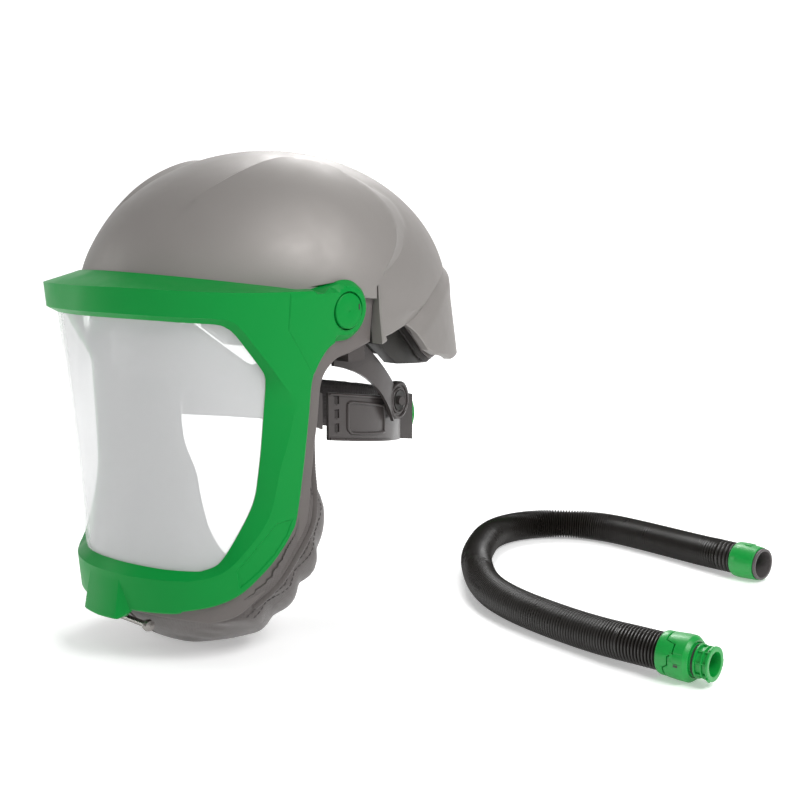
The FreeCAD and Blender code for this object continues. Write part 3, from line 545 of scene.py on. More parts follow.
RIM = ((-104.5, 17.8), (27.2, 6.0), (27.8, 13.2), (28.8, 14.0), (28.8, -23.2), (47, -18), (66, -13.6),
       (72, -22), (82, -32), (94, -36.5), (118, -41.5))
SWOOSH_OUT = ((-59, 69.7), (-41.7, 79.7), (-19.7, 89.0), (0.7, 95.0), (20.1, 97.8), (34, 96.2), (50, 88.6),
              (66.5, 79.7), (79.2, 73.2), (85, 68), (84.4, 54.6), (75, 44), (62, 33), (45, 23), (33, 16.5))
SWOOSH_IN = ((-59, 69.2), (-42.6, 77.5), (-23.5, 84.8), (-8.2, 89.2), (8.6, 91.8), (22.6, 90.2), (35, 85.6),
             (47.8, 76.5), (56.5, 65), (59.4, 54.8), (55.2, 42.6), (46.5, 31.9), (36, 22.5), (29.5, 15.5))
SKIRT_LINE = ((31.2, -13.8), (41, -11.2), (57, -7.2), (83, -1.8), (104, 8.5), (124, 17), (146, 24), (164, 28))
COWL_LINE = ((66, -13.6), (79, -8.6), (97, 0.2), (113, 10.5), (130, 18.5), (148, 25.0), (164, 28.6))


def both_sides(line):
    """A flat line on the left and its mirror image."""
    return [line, [np.array((-p[0], p[1])) for p in line]]


def crown_line(points, step):
    flat = [crown_flat(y, z) for y, z in points]
    return thinned(smooth_line(flat, step), step * 0.4)


def crown_outline():
    """The shell's rim on the unrolled disc, as one closed loop."""
    front = [crown_flat(y, z) for y, z in straight_line(RIM[:2], 5)]
    front[0] = np.array((0.0, front[0][1]))
    rest = [crown_flat(y, z) for y, z in RIM[1:]]
    last = rest[-1]
    turn = math.degrees(math.atan2(last[1], last[0]))
    back = arc((0, 0), np.linalg.norm(last) + 0.8, turn, 90, CROWN_STEP)[1:]
    half = thinned(front + straight_line(rest, CROWN_STEP)[1:] + back, 0.8)
    half[-1] = np.array((0.0, half[-1][1]))
    return half + [np.array((-p[0], p[1])) for p in reversed(half[1:-1])]


def raise_sweep(grow, flat, outs, ins):
    """Lifts the field behind each sweeping line, with a slope between its two edges."""
    for out, inn in zip(outs, ins):
        side = np.sign(out[len(out) // 2][0])
        closing = [out[-1], np.array((side * FAR_OUT, out[-1][1])), np.array((side * FAR_OUT, -90)),
                   np.array((out[0][0], -160.0))]
        is_out = inside(flat, out + closing)
        is_in = inside(flat, inn + closing)
        to_out, to_in = distance(flat, out), distance(flat, inn)
        share = np.where(is_in, 1.0, np.where(is_out, to_out / (to_out + to_in + 1e-6), 0.0))
        tall = SWEEP_TALL * ramp(flat[:, 1], -110, -10)
        grow += share * tall * ramp(side * flat[:, 0], 2, 30)


def shape_skirt(grow, flat, skirts, cowls):
    """Sinks the band between the skirt's line and the cowl's, and swells the cowl below it."""
    for skirt, cowl in zip(skirts, cowls):
        side = np.sign(skirt[len(skirt) // 2][0])
        corners = [np.array((0.0, FAR_OUT)), np.array((side * FAR_OUT, FAR_OUT))]
        half_plane = side * flat[:, 0] >= -1e-6
        around_skirt, around_cowl = (
            line + [np.array((0.0, line[-1][1]))] + corners + [np.array((side * FAR_OUT, line[0][1]))]
            for line in (skirt, cowl))
        below = inside(flat, around_skirt) & half_plane
        low = inside(flat, around_cowl) & half_plane
        to_skirt, to_cowl = distance(flat, skirt), distance(flat, cowl)
        band = np.where(below & ~low, -SKIRT_SUNK * to_skirt / (to_skirt + to_cowl + 1e-6), 0.0)
        bulge = np.where(low, -SKIRT_SUNK + COWL_BULGE * np.clip(to_cowl / 9.0, 0, 1) ** 0.7, 0.0)
        grow += band + bulge


def make_crown(materials):
    loop = crown_outline()
    outs, ins, skirts, cowls = (both_sides(crown_line(line, CROWN_STEP))
                                for line in (SWOOSH_OUT, SWOOSH_IN, SKIRT_LINE, COWL_LINE))
    lines = outs + ins + skirts + cowls + [offset_loop(loop, 1.2)]
    flat, faces = triangulated(loop, [], lines, 3.4)
    grow = np.zeros(len(flat))
    raise_sweep(grow, flat, outs, ins)
    shape_skirt(grow, flat, skirts, cowls)
    edge = distance(flat, loop, True)
    grow -= 0.9 * np.clip(1 - edge / 1.3, 0, 1) ** 2
    smooth = crown_point(flat, 0.0)
    normal = (smooth - np.array((0, CROWN_Y, 0))) / CROWN ** 2
    normal[:, 2] = np.where(np.linalg.norm(flat, axis=1) > EQUATOR, 0, normal[:, 2])
    normal /= np.linalg.norm(normal, axis=1)[:, None]
    outer = smooth + normal * grow[:, None]
    inner = smooth - normal * (SHELL_WALL - np.minimum(grow, 0))[:, None]
    verts, solid, uvs = walled(flat, faces, outer, inner)
    return finished("helmet_shell", verts, solid, materials["shell"], "root", "shell_grey", uvs, 24,
                    ("crown_shell",))


# ---------------------------------------------------------------- the visor's curved surface

VISOR_CENTRE_Y = -15.0
QUARTER = plan_length(116.0, 112.0)


def visor_size(z):
    """Half width and depth of the visor's plan at a height."""
    fall = 14.0 - z
    return 116.0 - 0.098 * fall, 112.0 - 0.080 * fall


def visor_flat(y, z):
    """Side-view point on the left half to the unrolled visor: distance round the plan, height."""
    if y >= VISOR_CENTRE_Y:
        return np.array((QUARTER + y - VISOR_CENTRE_Y, z))
    depth = visor_size(z)[1]
    turn = math.acos(max(-1.0, min(1.0, (VISOR_CENTRE_Y - y) / depth)))
    return np.array((QUARTER * turn / (math.pi / 2), z))


def visor_point(flat, inset):
    """Unrolled visor points to space, moved inwards by inset."""
    around = np.abs(flat[:, 0])
    side = np.sign(flat[:, 0])
    z = flat[:, 1]
    half, depth = visor_size(z)
    turn = np.minimum(around / QUARTER, 1.0) * math.pi / 2
    x = side * (half - inset) * np.sin(turn)
    y = VISOR_CENTRE_Y - (depth - inset) * np.cos(turn) + np.maximum(around - QUARTER, 0)
    return np.stack([x, y, z], axis=1)


def front(turn_deg, z):
    """A point on the unrolled visor from its angle round the plan."""
    return np.array((QUARTER * turn_deg / 90.0, z))


def visor_knots(brow, side, jaw):
    """Unrolled knots: front angles along the brow, side-view points, front angles back along the jaw."""
    return [front(*p) for p in brow] + [visor_flat(*p) for p in side] + [front(*p) for p in jaw]


LENS_KNOTS = visor_knots(
    ((0, -2.4), (14, -2.5), (28, -3.2), (40, -4.4)),
    ((-85, -5.6), (-79.5, -7.8), (-75, -11.8), (-66, -24), (-58.5, -34.2), (-56.2, -38.5), (-55.5, -44),
     (-55.7, -60), (-56.2, -84), (-57.2, -102), (-58.6, -116), (-62.4, -128), (-69.5, -144), (-75, -155),
     (-79, -160), (-84.5, -162.6)),
    ((42, -163.4), (30, -163), (15, -161.8), (0, -161.2)))
BEVEL_KNOTS = visor_knots(
    ((0, 1.2), (14, 1.1), (28, 0.4), (40, -0.6)),
    ((-85, -1.6), (-77, -3.6), (-71.5, -9.2), (-63, -21), (-55.5, -31), (-47, -42.8), (-38.4, -54.4),
     (-38.6, -62), (-39.8, -72.7), (-42.5, -85), (-45.6, -98), (-50.5, -127), (-61, -145.7), (-71.6, -159.8),
     (-79, -165), (-88, -167.6)),
    ((38, -168.2), (20, -168), (0, -167.6)))
REAR_KNOTS = ((-3.5, -19.2), (-9.5, -20.2), (-15.8, -24.2), (-22.4, -33.3), (-26, -44), (-26.9, -67),
              (-28.8, -100), (-31.6, -131), (-35, -141), (-43, -154), (-52, -165), (-65, -178), (-78, -185),
              (-92, -189.0))
PLATE = ((-46, -132.7), (-34.6, -131), (-38.2, -141.5), (-46, -153.6), (-55, -164), (-65.8, -174.2),
         (-67.8, -161.8))
PANEL = ((-45.5, 13.6), (-45.5, -9.5), (-27.2, -37.5))
PANEL_IN = ((-44.7, 13.6), (-44.7, -9.9), (-26.6, -38.0))
EAR_RADIUS = 19.5
EAR_FACE = 15.6
RECESS_RADIUS = 12.4
RECESS_FLOOR = 11.9
RECESS_DEPTH = 2.2
CHAMFER = 3.9
BEVEL_DEPTH = 6.2
PANEL_TALL = 0.55
PLATE_DEPTH = 0.7
TAB_TOP = -171.8
TAB_TALL = 5.6
TAB_HALF_TURN = 9.7
VISOR_STEP = 2.2


def closed_loop(half):
    """Both halves of a loop from its left half, which runs from the front's middle back to it."""
    half = [np.array(p) for p in half]
    half[0][0] = 0.0
    half[-1][0] = 0.0
    return half + [np.array((-p[0], p[1])) for p in reversed(half[1:-1])]


def ridge_z(around):
    """Height of the crease between the brow's face and its sloped top."""
    return 17.0 - 3.2 * ramp(np.abs(around), 30, 128)


def crown_gap_point(turn, gap):
    """Inset and height where the brow's top meets the crown, at an angle round the visor."""
    low, high = 0.0, 60.0
    for _ in range(40):
        inset = (low + high) / 2
        z = 22.0
        for _ in range(6):
            half, depth = visor_size(z)
            x = (half - inset) * math.sin(turn)
            y = VISOR_CENTRE_Y - (depth - inset) * math.cos(turn)
            z = 25.4 - 0.145 * (y + 106.0)
        z = max(z, 14.2)
        place = np.array((x, y - CROWN_Y, z))
        if ((place / (CROWN + gap)) ** 2).sum() > 1:
            low = inset
        else:
            high = inset
    return inset, z


def roof_table():
    """Distance round the visor, inset and height of the brow's inner edge, from the front back."""
    table = []
    for i in range(60):
        turn = math.radians(83.0) * i / 59
        inset, z = crown_gap_point(turn, 2.0)
        table.append((QUARTER * turn / (math.pi / 2), inset, z))
    return np.array(table)


def surround_outline(roof):
    """Outer edge of the visor's frame on the unrolled surface."""
    top = [np.array((around, z)) for around, _, z in roof]
    ear = arc(visor_flat(0, 0), EAR_RADIUS, 112, -79.7, VISOR_STEP)
    rear = smooth_line([visor_flat(y, z) for y, z in REAR_KNOTS], VISOR_STEP)
    chin = smooth_line([rear[-1], front(34, -190.6), front(20, -191.2), front(14.5, -191.4)], VISOR_STEP)[1:]
    tab = straight_line([chin[-1], front(10.4, -197.0), front(0, -197.6)], VISOR_STEP)[1:]
    return closed_loop(thinned(top + ear + rear[1:] + chin + tab, 0.7))[::-1]


def surround_creases(panel, plate):
    """Lines on the frame along which its faces meet, on both sides."""
    ridge = [np.array((a, ridge_z(a))) for a in np.arange(0, QUARTER - 10, VISOR_STEP)]
    ridge.append(np.array((QUARTER + 2.0, 15.6)))
    ear_face = arc(visor_flat(0, 0), EAR_FACE, 96, -62, VISOR_STEP)
    recess = arc(visor_flat(0, 0), RECESS_RADIUS, 0, 354, 1.6)
    recess_in = arc(visor_flat(0, 0), RECESS_FLOOR, 0, 354, 1.6)
    panel_in = straight_line([visor_flat(y, z) for y, z in PANEL_IN], VISOR_STEP)
    plate_in = offset_loop(plate[::-1], 0.8)
    tab_edge = straight_line([front(9.5, TAB_TOP), front(9.9, -197.4)], VISOR_STEP)
    tab_side = straight_line([front(9.5, TAB_TOP), front(14.2, -191.2)], VISOR_STEP)
    lines = []
    for line in (ridge, ear_face, panel, panel_in, tab_edge, tab_side, recess + recess[:1],
                 recess_in + recess_in[:1], plate + plate[:1], plate_in + plate_in[:1]):
        lines += both_sides(line)
    return lines


def make_visor_frame(materials):
    roof = roof_table()
    loop = surround_outline(roof)
    lens = closed_loop(thinned(smooth_line(LENS_KNOTS, VISOR_STEP), 0.9))[::-1]
    bevel = closed_loop(thinned(smooth_line(BEVEL_KNOTS, VISOR_STEP), 0.9))
    panel = straight_line([visor_flat(y, z) for y, z in PANEL], VISOR_STEP)
    plate = [visor_flat(y, z) for y, z in PLATE]
    plate = straight_line(plate + plate[:1], VISOR_STEP)[:-1]
    lines = surround_creases(panel, plate) + [bevel + bevel[:1], offset_loop(loop, 1.0)]
    flat, faces = triangulated(loop, [lens], lines, 2.6)
    around, z = np.abs(flat[:, 0]), flat[:, 1]
    half_flat = np.stack([around, z], axis=1)
    # the sloped top, from the ridge in to the crown
    top_inset = np.interp(around, roof[:, 0], roof[:, 1])
    top_z = np.interp(around, roof[:, 0], roof[:, 2])
    crease = ridge_z(around)
    on_roof = (z > crease) & (around < QUARTER - 3)
    climb = np.clip((z - crease) / np.maximum(top_z - crease, 0.3), 0, 1)
    inset = np.where(on_roof, climb * top_inset, 0.0)
    # bevel round the lens opening
    to_lens = distance(flat, lens, True)
    to_bevel = distance(flat, bevel, True)
    share = to_bevel / (to_bevel + to_lens + 1e-6)
    inset = np.where(inside(flat, bevel), BEVEL_DEPTH * share, inset)
    # chamfer round the ear, and a small radius along every free edge
    ear = np.linalg.norm(half_flat - visor_flat(0, 0), axis=1)
    by_ear = (around > QUARTER + 8) | ((around > QUARTER - 14) & (z > crease))
    chamfer = np.where(by_ear, CHAMFER * np.clip((ear - EAR_FACE) / CHAMFER, 0, 1), 0)
    inset = np.maximum(inset, chamfer)
    free = distance(flat, loop, True)
    inset = inset + np.where(on_roof, 0, 0.8 * np.clip(1 - free / 1.05, 0, 1) ** 1.5)
    inset = np.where(ear < RECESS_FLOOR + 0.05, inset + RECESS_DEPTH, inset)
    # raised side panel, sunk lower plate and chin tab
    side_area = panel + [visor_flat(-20, -40), visor_flat(26, -40), visor_flat(26, 13.6)]
    raised = inside(half_flat, side_area) & (z < crease)
    inset -= np.where(raised, PANEL_TALL * np.clip(distance(half_flat, panel) / 0.8, 0, 1), 0)
    sunk = inside(half_flat, plate)
    inset += np.where(sunk, PLATE_DEPTH * np.clip(distance(half_flat, plate, True) / 0.8, 0, 1), 0)
    fall = np.clip((TAB_TOP - z) / 20.0, 0, 1.25)
    tab_half = front(TAB_HALF_TURN, 0)[0]
    spread = np.clip(1 - (around - tab_half) / (8.6 * np.maximum(fall, 0.02)), 0, 1)
    inset -= TAB_TALL * fall * spread
    deep = np.maximum(inset, 0) + np.where(on_roof, 1.2, 3.2 - 1.4 * np.clip(inset / 6.0, 0, 1))
    inner = visor_point(flat, deep)
    inner[:, 2] -= np.where(on_roof, 3.0 * climb, 0)
    verts, solid, uvs = walled(flat, faces, visor_point(flat, inset), inner)
    return finished("visor_surround", verts, solid, materials["green"], "visor", "visor_green", uvs, 20,
                    ("visor_frame",))


def grown_loop(loop, amount):
    """A closed clockwise or anticlockwise loop moved outwards."""
    pts = np.asarray(loop)
    middle = pts.mean(axis=0)
    away = pts - middle
    return [p + a / np.linalg.norm(a) * amount for p, a in zip(pts, away)]


def visor_layer(flat, faces, near, far):
    """Closed sheet between two insets from the visor's surface."""
    near_face, far_face = (visor_point(flat, np.full(len(flat), inset)) for inset in (near, far))
    return walled(flat, faces, near_face, far_face)


LENS_LAP = 4.5
LENS_FACES = (6.6, 8.4)
GASKET_FACES = (8.5, 9.8)


def make_lens(materials):
    lens = closed_loop(thinned(smooth_line(LENS_KNOTS, 4.0), 1.6))[::-1]
    loop = grown_loop(lens, LENS_LAP)
    flat, faces = triangulated(loop, [], [], 5.0)
    verts, solid, uvs = visor_layer(flat, faces, *LENS_FACES)
    finished("visor_sheet", verts, solid, materials["lens"], "visor", "lens_clear", uvs, 40, ("visor_lens",))
    flat, faces = triangulated(loop, [grown_loop(lens, 1.2)], [], 3.0)
    verts, solid, uvs = visor_layer(flat, faces, *GASKET_FACES)
    finished("visor_sheet_gasket", verts, solid, materials["rubber"], "visor", "gasket_rubber", uvs, 30,
             ("lens_gasket",))


SEAL_REAR = ((27.4, 12.6), (27.4, -22.2), (9.3, -28.3), (-0.6, -30.4), (-7.1, -34.5), (-12.8, -41.4),
             (-15, -52), (-15.4, -69), (-17.4, -92), (-18.7, -128), (-21.5, -141), (-33.6, -160),
             (-43, -173.5), (-57, -187), (-66.7, -194.8), (-80, -198.6))
SEAL_FRONT = ((-80, -176), (-66, -166), (-52, -144), (-45, -128), (-43, -100), (-42, -50), (-44, -30),
              (-30, -8), (-20, 6), (10, 12.6))
CARRIER_OUTSIDE = 4.9
CARRIER_INSIDE = 7.6


def make_seal_frame(materials):
    step = 2.6
    rear = straight_line([visor_flat(y, z) for y, z in SEAL_REAR[:3]], step)
    rear += smooth_line([visor_flat(y, z) for y, z in SEAL_REAR[2:]], step)[1:]
    under = smooth_line([rear[-1], front(35, -196.4), front(15, -194), front(0, -193.4)], step)[1:]
    over = smooth_line([front(0, -178), front(20, -178), front(38, -178), visor_flat(*SEAL_FRONT[0])], step)
    inner = smooth_line([visor_flat(y, z) for y, z in SEAL_FRONT], step)
    left = thinned(rear + under[:-1], 0.8)
    inward = thinned(over + inner[1:], 0.8)
    loop = left + [np.array((-p[0], p[1])) for p in reversed(left)]
    loop += [np.array((-p[0], p[1])) for p in reversed(inward[1:])] + inward
    flat, faces = triangulated(loop, [], [offset_loop(loop, -1.1)], 2.8)
    edge = distance(flat, loop, True)
    inset = CARRIER_OUTSIDE + 0.8 * np.clip(1 - edge / 1.1, 0, 1) ** 1.5
    inner = visor_point(flat, np.full(len(flat), CARRIER_INSIDE))
    verts, solid, uvs = walled(flat, faces, visor_point(flat, inset), inner)
    return finished("seal_carrier", verts, solid, materials["seal"], "root", "seal_grey", uvs, 26,
                    ("face_seal_frame",))


# ---------------------------------------------------------------- the fabric face seal

# level, half width, front, rear, corner, y of the widest point
SEAL_ROWS = ((-33, 98, -98, -1, 20, -38), (-52, 98.6, -99, -2.5, 22, -38), (-76, 98.4, -100, -5.5, 23, -38),
             (-104, 97.6, -102, -3, 25, -38), (-133, 96.6, -103, 8, 28, -38), (-165, 92.0, -103, 9, 30, -38),
             (-190, 81.5, -99, 1, 33, -42), (-206, 68, -88, -5, 28, -42), (-217, 53, -76, -12, 22, -41),
             (-223.5, 37, -67, -19, 15, -40), (-226.4, 18, -56, -27, 7, -40))
FACE_HALF = 55.0
SEAL_STEP = 2.2
LINING_GAP = 1.3
SEAL_LOWEST = -226.9
# side-view line of each fold, height, width
FOLDS = ((((-16, -118), (0, -134), (10, -158)), 1.7, 7.5),
         (((-30, -148), (-12, -162), (2, -184)), 2.0, 7.0),
         (((-48, -172), (-28, -180), (-8, -200)), 2.2, 6.5),
         (((-66, -194), (-46, -200), (-26, -216)), 2.2, 6.0),
         (((-22, -134), (-6, -150), (6, -172)), -1.5, 5.5),
         (((-38, -162), (-20, -172), (-2, -192)), -1.8, 5.5),
         (((-56, -184), (-38, -191), (-18, -208)), -1.8, 5.0),
         (((-8, -62), (0, -74), (4, -86)), 1.0, 7.0))
CARRIER_EDGE_Z = (-198.0, -194.8, -187.0, -173.5, -160.0, -141.0, -128.0, -92.0, -69.0, -52.0, -41.4,
                  -34.5, -30.4)
CARRIER_EDGE_Y = (-78.0, -66.7, -57.0, -43.0, -33.6, -21.5, -18.7, -17.4, -15.4, -15.0, -12.8, -7.1, -0.6)


def seal_rows(step):
    return np.array(smooth_line(SEAL_ROWS, step))


def seal_section(row, count_rear, count_corner, count_side, count_front):
    """Left half of the seal's plan at one level, from the face opening round to the front."""
    level, half, front_y, rear, corner, wide = row
    gap = FACE_HALF * math.sqrt(max(0.0, 1 - ((level + 140) / 46.0) ** 2)) if level < -140 else FACE_HALF
    gap = min(gap, half - corner * 0.75)
    turn = [math.pi / 2 * i / count_corner for i in range(count_corner + 1)]
    start = max(0.0, (half - corner - gap))
    pts = [(gap + start * i / count_rear, rear) for i in range(count_rear)]
    base = max(gap, half - corner)
    pts += [(base + (half - base) * math.sin(t), rear - corner * (1 - math.cos(t))) for t in turn]
    pts += [(half, rear - corner + (wide - rear + corner) * (i + 1) / count_side) for i in range(count_side)]
    for i in range(1, count_front + 1):
        t = math.pi / 2 * i / count_front
        pts.append((half * math.cos(t), wide + (front_y - wide) * math.sin(t)))
    return [(x, y, level) for x, y in pts]


def seal_folds(y, z):
    """How far the cloth stands out from its loft, by the folds drawn in side view."""
    points = np.stack([y, z], axis=1)
    out = np.zeros(len(points))
    for line, tall, wide in FOLDS:
        away = distance(points, smooth_line(line, 3.0))
        out += tall * np.exp(-(away / wide) ** 2)
    gather = np.interp(z, CARRIER_EDGE_Z, CARRIER_EDGE_Y)
    behind = np.clip(y - gather, 0, 40)
    pucker = 0.28 * np.sin(z * 0.9 + y * 0.3) * np.exp(-((behind - 12) / 6.0) ** 2) * ramp(-z, 100, 130)
    drape = 0.35 * np.sin(0.13 * z + 0.21 * y) * ramp(behind, 6, 20) * ramp(-z, 90, 130)
    return out * ramp(behind, 3, 12) + pucker + drape


def seal_half():
    """Left half of the bag: outside, lining and unrolled points, and the triangles over them."""
    rings = [seal_section(row, 14, 14, 22, 34) for row in seal_rows(SEAL_STEP)]
    count = len(rings[0])
    points = np.array([p for ring in rings for p in ring])
    faces = []
    for i in range(len(rings) - 1):
        for j in range(count - 1):
            a = i * count + j
            faces += [(a, a + 1, a + count + 1), (a, a + count + 1, a + count)]
    faces = np.array(faces)
    edge = np.interp(points[:, 2], CARRIER_EDGE_Z, CARRIER_EDGE_Y)
    kept = (points[:, 1] > edge - 7) | (points[:, 2] < -189)
    faces = faces[kept[faces].all(axis=1)]
    out = seal_folds(points[:, 1], points[:, 2])
    normal = points - np.array((0.0, -45.0, -120.0))
    normal[:, 2] *= np.where(points[:, 2] < -170, 0.9, 0.0)
    normal /= np.linalg.norm(normal, axis=1)[:, None]
    under = points[:, 1] < edge + 1.5
    out = np.where(under & (points[:, 2] > -197), np.minimum(out, 0) - 0.6, out)
    skin = points + normal * out[:, None]
    skin[:, 2] = np.maximum(skin[:, 2], SEAL_LOWEST)
    lining = skin - normal * LINING_GAP
    around = np.tile(np.cumsum([0] + [1.9] * (count - 1)), len(rings))
    flat = np.stack([around, points[:, 2]], axis=1)
    used, index = np.unique(faces, return_inverse=True)
    return skin[used], lining[used], flat[used], index.reshape(faces.shape)


def make_seal(materials):
    skin, lining, flat, faces = seal_half()
    skins, linings, flats, triangles = [], [], [], []
    for side in (1, -1):
        mirror = np.array((side, 1, 1))
        triangles.append(faces[:, ::side] + len(skins) * len(skin))
        skins.append(skin * mirror)
        linings.append(lining * mirror)
        flats.append(flat * mirror[:2])
    verts, solid, uvs = walled(np.vstack(flats), np.vstack(triangles), np.vstack(skins), np.vstack(linings))
    cloth = finished("seal_cloth", verts, solid, materials["fabric"], "root", "seal_fabric", uvs, 60,
                     ("face_seal",))
    area = sum(p.area for p in cloth.data.polygons) / 2
    return cloth, area


def seal_x(y, z):
    """Half width of the seal's outside at a side-view point."""
    rows = seal_rows(SEAL_STEP)
    level, half, front_y, rear, corner, wide = (np.interp(z, rows[::-1, 0], rows[::-1, k]) for k in range(6))
    if y > rear - corner:
        part = min(1.0, (y - rear + corner) / corner)
        return half - corner + corner * math.sqrt(max(0.0, 1 - part * part))
    if y > wide:
        return half
    part = min(1.0, (y - wide) / (front_y - wide))
    return half * math.sqrt(max(0.0, 1 - part * part))


def swept(path, radius, sides, squash=1.0):
    """Round bar along a path of points: vertices and faces, with closed ends."""
    path = [np.array(p, float) for p in path]
    verts = []
    reference = np.array((1.0, 0.0, 0.0))
    for i, p in enumerate(path):
        ahead = path[min(i + 1, len(path) - 1)] - path[max(i - 1, 0)]
        ahead /= np.linalg.norm(ahead)
        across = reference - ahead * (reference @ ahead)
        if np.linalg.norm(across) < 0.2:
            across = np.array((0.0, 0.0, 1.0)) - ahead * ahead[2]
        across /= np.linalg.norm(across)
        up = np.cross(ahead, across)
        size = radius(i / (len(path) - 1)) if callable(radius) else radius
        for k in range(sides):
            t = 2 * math.pi * k / sides
            verts.append(p + size * (squash * math.cos(t) * across + math.sin(t) * up))
    return verts, tube_faces(len(path), sides)


PIPING_LINE = ((3.6, -33.5), (-3.5, -38.5), (-7.6, -46), (-9.6, -58), (-10.2, -76), (-11.4, -104),
               (-12.6, -128), (-16.0, -142), (-28, -161), (-37.5, -175), (-52, -189.5))


def make_piping(materials):
    parts = []
    curve = smooth_line(PIPING_LINE, 1.0)
    for side in (1, -1):
        path = []
        for i, (y, z) in enumerate(curve):
            x = seal_x(y, z) + 0.4 * (1 if i % 2 else 0)
            path.append((side * x, y, z))
        parts.append(swept(path, lambda t: 3.9 - 1.6 * ramp(t, 0.35, 0.6), 14, 0.62))
    return finished("seal_piping", *joined(parts), materials["piping"], "root", "seal_fabric", sharp=70)


STITCH = 2.4
STITCH_GAP = 1.1
THREAD_RADIUS = 0.32
STITCH_LIFT = 0.5


def stitched(path):
    """Thread stitches along a path of (point, outward direction) pairs."""
    places = np.array([p for p, _ in path[:-1]])
    normals = np.array([n for _, n in path[:-1]])
    gaps = [np.linalg.norm(q - p) for (p, _), (q, _) in zip(path[:-2], path[1:-1])]
    along = np.concatenate([[0.0], np.cumsum(gaps)])
    parts = []
    at = 0.0
    while at + STITCH < along[-1]:
        bar = []
        for k in range(5):
            s = at + STITCH * k / 4
            place = np.array([np.interp(s, along, places[:, c]) for c in range(3)])
            normal = np.array([np.interp(s, along, normals[:, c]) for c in range(3)])
            bar.append(place + normal * (STITCH_LIFT * math.sin(math.pi * k / 4) - 0.1))
        parts.append(swept(bar, THREAD_RADIUS, 6))
        at += STITCH + STITCH_GAP
    return parts


def make_seal_stitches(materials):
    parts = []
    for shift in (5.0, 9.5):
        line = []
        for z in np.arange(-112, -196, -1.5):
            edge = float(np.interp(z, CARRIER_EDGE_Z, CARRIER_EDGE_Y))
            line.append((edge + shift + 6 * ramp(-z, 112, 126) - 3, z - shift * 0.5))
        for side in (1, -1):
            path = []
            for y, z in line:
                push = float(seal_folds(np.array([y]), np.array([z]))[0])
                x = seal_x(y, z)
                normal = np.array((side * 0.95, 0.1, -0.3 * ramp(-z, 150, 200)))
                path.append((np.array((side * x, y, z)) + normal * push, normal))
            parts += stitched(path)
    return finished("seal_stitches", *joined(parts), materials["thread"], "root", "seal_fabric", sharp=60)


# ---------------------------------------------------------------- the breathing tube

TUBE_ROUTE = ((283, 113, 2.4), (262, 112, 2.4), (242, 114, 1), (221, 117, 0), (200, 119.4, 0), (179, 123, 0),
              (158, 127.5, 0), (138, 134, 0), (118, 143, 0), (96, 158, 0), (72, 180, 0), (46, 208, 0),
              (25, 240, 0), (10.5, 266, 0), (3.5, 291, 0), (6.5, 317.5, 0), (20, 341, 0), (42, 357, 0),
              (68, 363.5, 0), (95, 362, 0), (121, 359, 0), (147, 355.5, 0), (171, 350.5, 0.6),
              (188, 346.5, 1.7), (204, 345, 1.7))
TUBE_REST_Z = -214.5
TUBE_RADIUS = 12.5
TUBE_GROOVE = 10.3
TUBE_PITCH = 2.4
WIDE_PITCH = 3.6
WIDE_RUN = 14.4
TUBE_SIDES = 44
# where each end of the tube starts, and the way it points
NEAR_END = (np.array((283, 113, -212.1)), np.array((0.99887, 0.04757, 0.0)))
FAR_END = (np.array((204, 345, -212.8)), np.array((0.99563, -0.09334, 0.0)))


def tube_curve():
    curve = bpy.data.curves.new("tube_line", "CURVE")
    curve.dimensions = "3D"
    line = curve.splines.new("NURBS")
    line.points.add(len(TUBE_ROUTE) - 1)
    for point, (x, y, lift) in zip(line.points, TUBE_ROUTE):
        point.co = (x * MM, y * MM, (TUBE_REST_Z + lift) * MM, 1)
    line.order_u = 3
    line.use_endpoint_u = True
    line.resolution_u = 24
    holder = bpy.data.objects.new("tube_line", curve)
    scene.collection.objects.link(holder)
    bpy.context.view_layer.update()
    points = [np.array(v.co) / MM for v in holder.to_mesh().vertices]
    holder.to_mesh_clear()
    return holder, points


def even(points, step):
    """Points respaced evenly along their line."""
    points = np.array(points)
    gaps = np.linalg.norm(np.diff(points, axis=0), axis=1)
    along = np.concatenate([[0], np.cumsum(gaps)])
    count = int(along[-1] / step)
    at = np.linspace(0, along[-1], count + 1)
    return at, np.stack([np.interp(at, along, points[:, c]) for c in range(3)], axis=1)


def tube_radius(left):
    """Radius over the corrugations, at a distance from the far end."""
    wide = left < WIDE_RUN
    turns = left / WIDE_PITCH if wide else (left - WIDE_RUN) / TUBE_PITCH
    wave = 0.5 - 0.5 * math.cos(2 * math.pi * turns)
    return TUBE_GROOVE + (TUBE_RADIUS - TUBE_GROOVE) * wave ** 0.7


def make_tube(materials):
    holder, line = tube_curve()
    at, path = even(line, TUBE_PITCH / 6)
    total = at[-1]
    verts, uvs = [], []
    for i, p in enumerate(path):
        ahead = path[min(i + 1, len(path) - 1)] - path[max(i - 1, 0)]
        ahead /= np.linalg.norm(ahead)
        across, up = cross_axes(ahead)
        radius = tube_radius(total - at[i])
        for k in range(TUBE_SIDES):
            t = 2 * math.pi * k / TUBE_SIDES
            verts.append(p + radius * (math.cos(t) * across + math.sin(t) * up))
            uvs.append((at[i], TUBE_RADIUS * t))
    faces = tube_faces(len(path), TUBE_SIDES)
    tube = finished("breathing_hose", verts, faces, materials["hose"], "tube", "hose_rubber", uvs, 75,
                    ("breathing_tube",))
    bpy.data.objects.remove(holder)
    return tube, even(line, 8.0)[1] * MM, total * MM


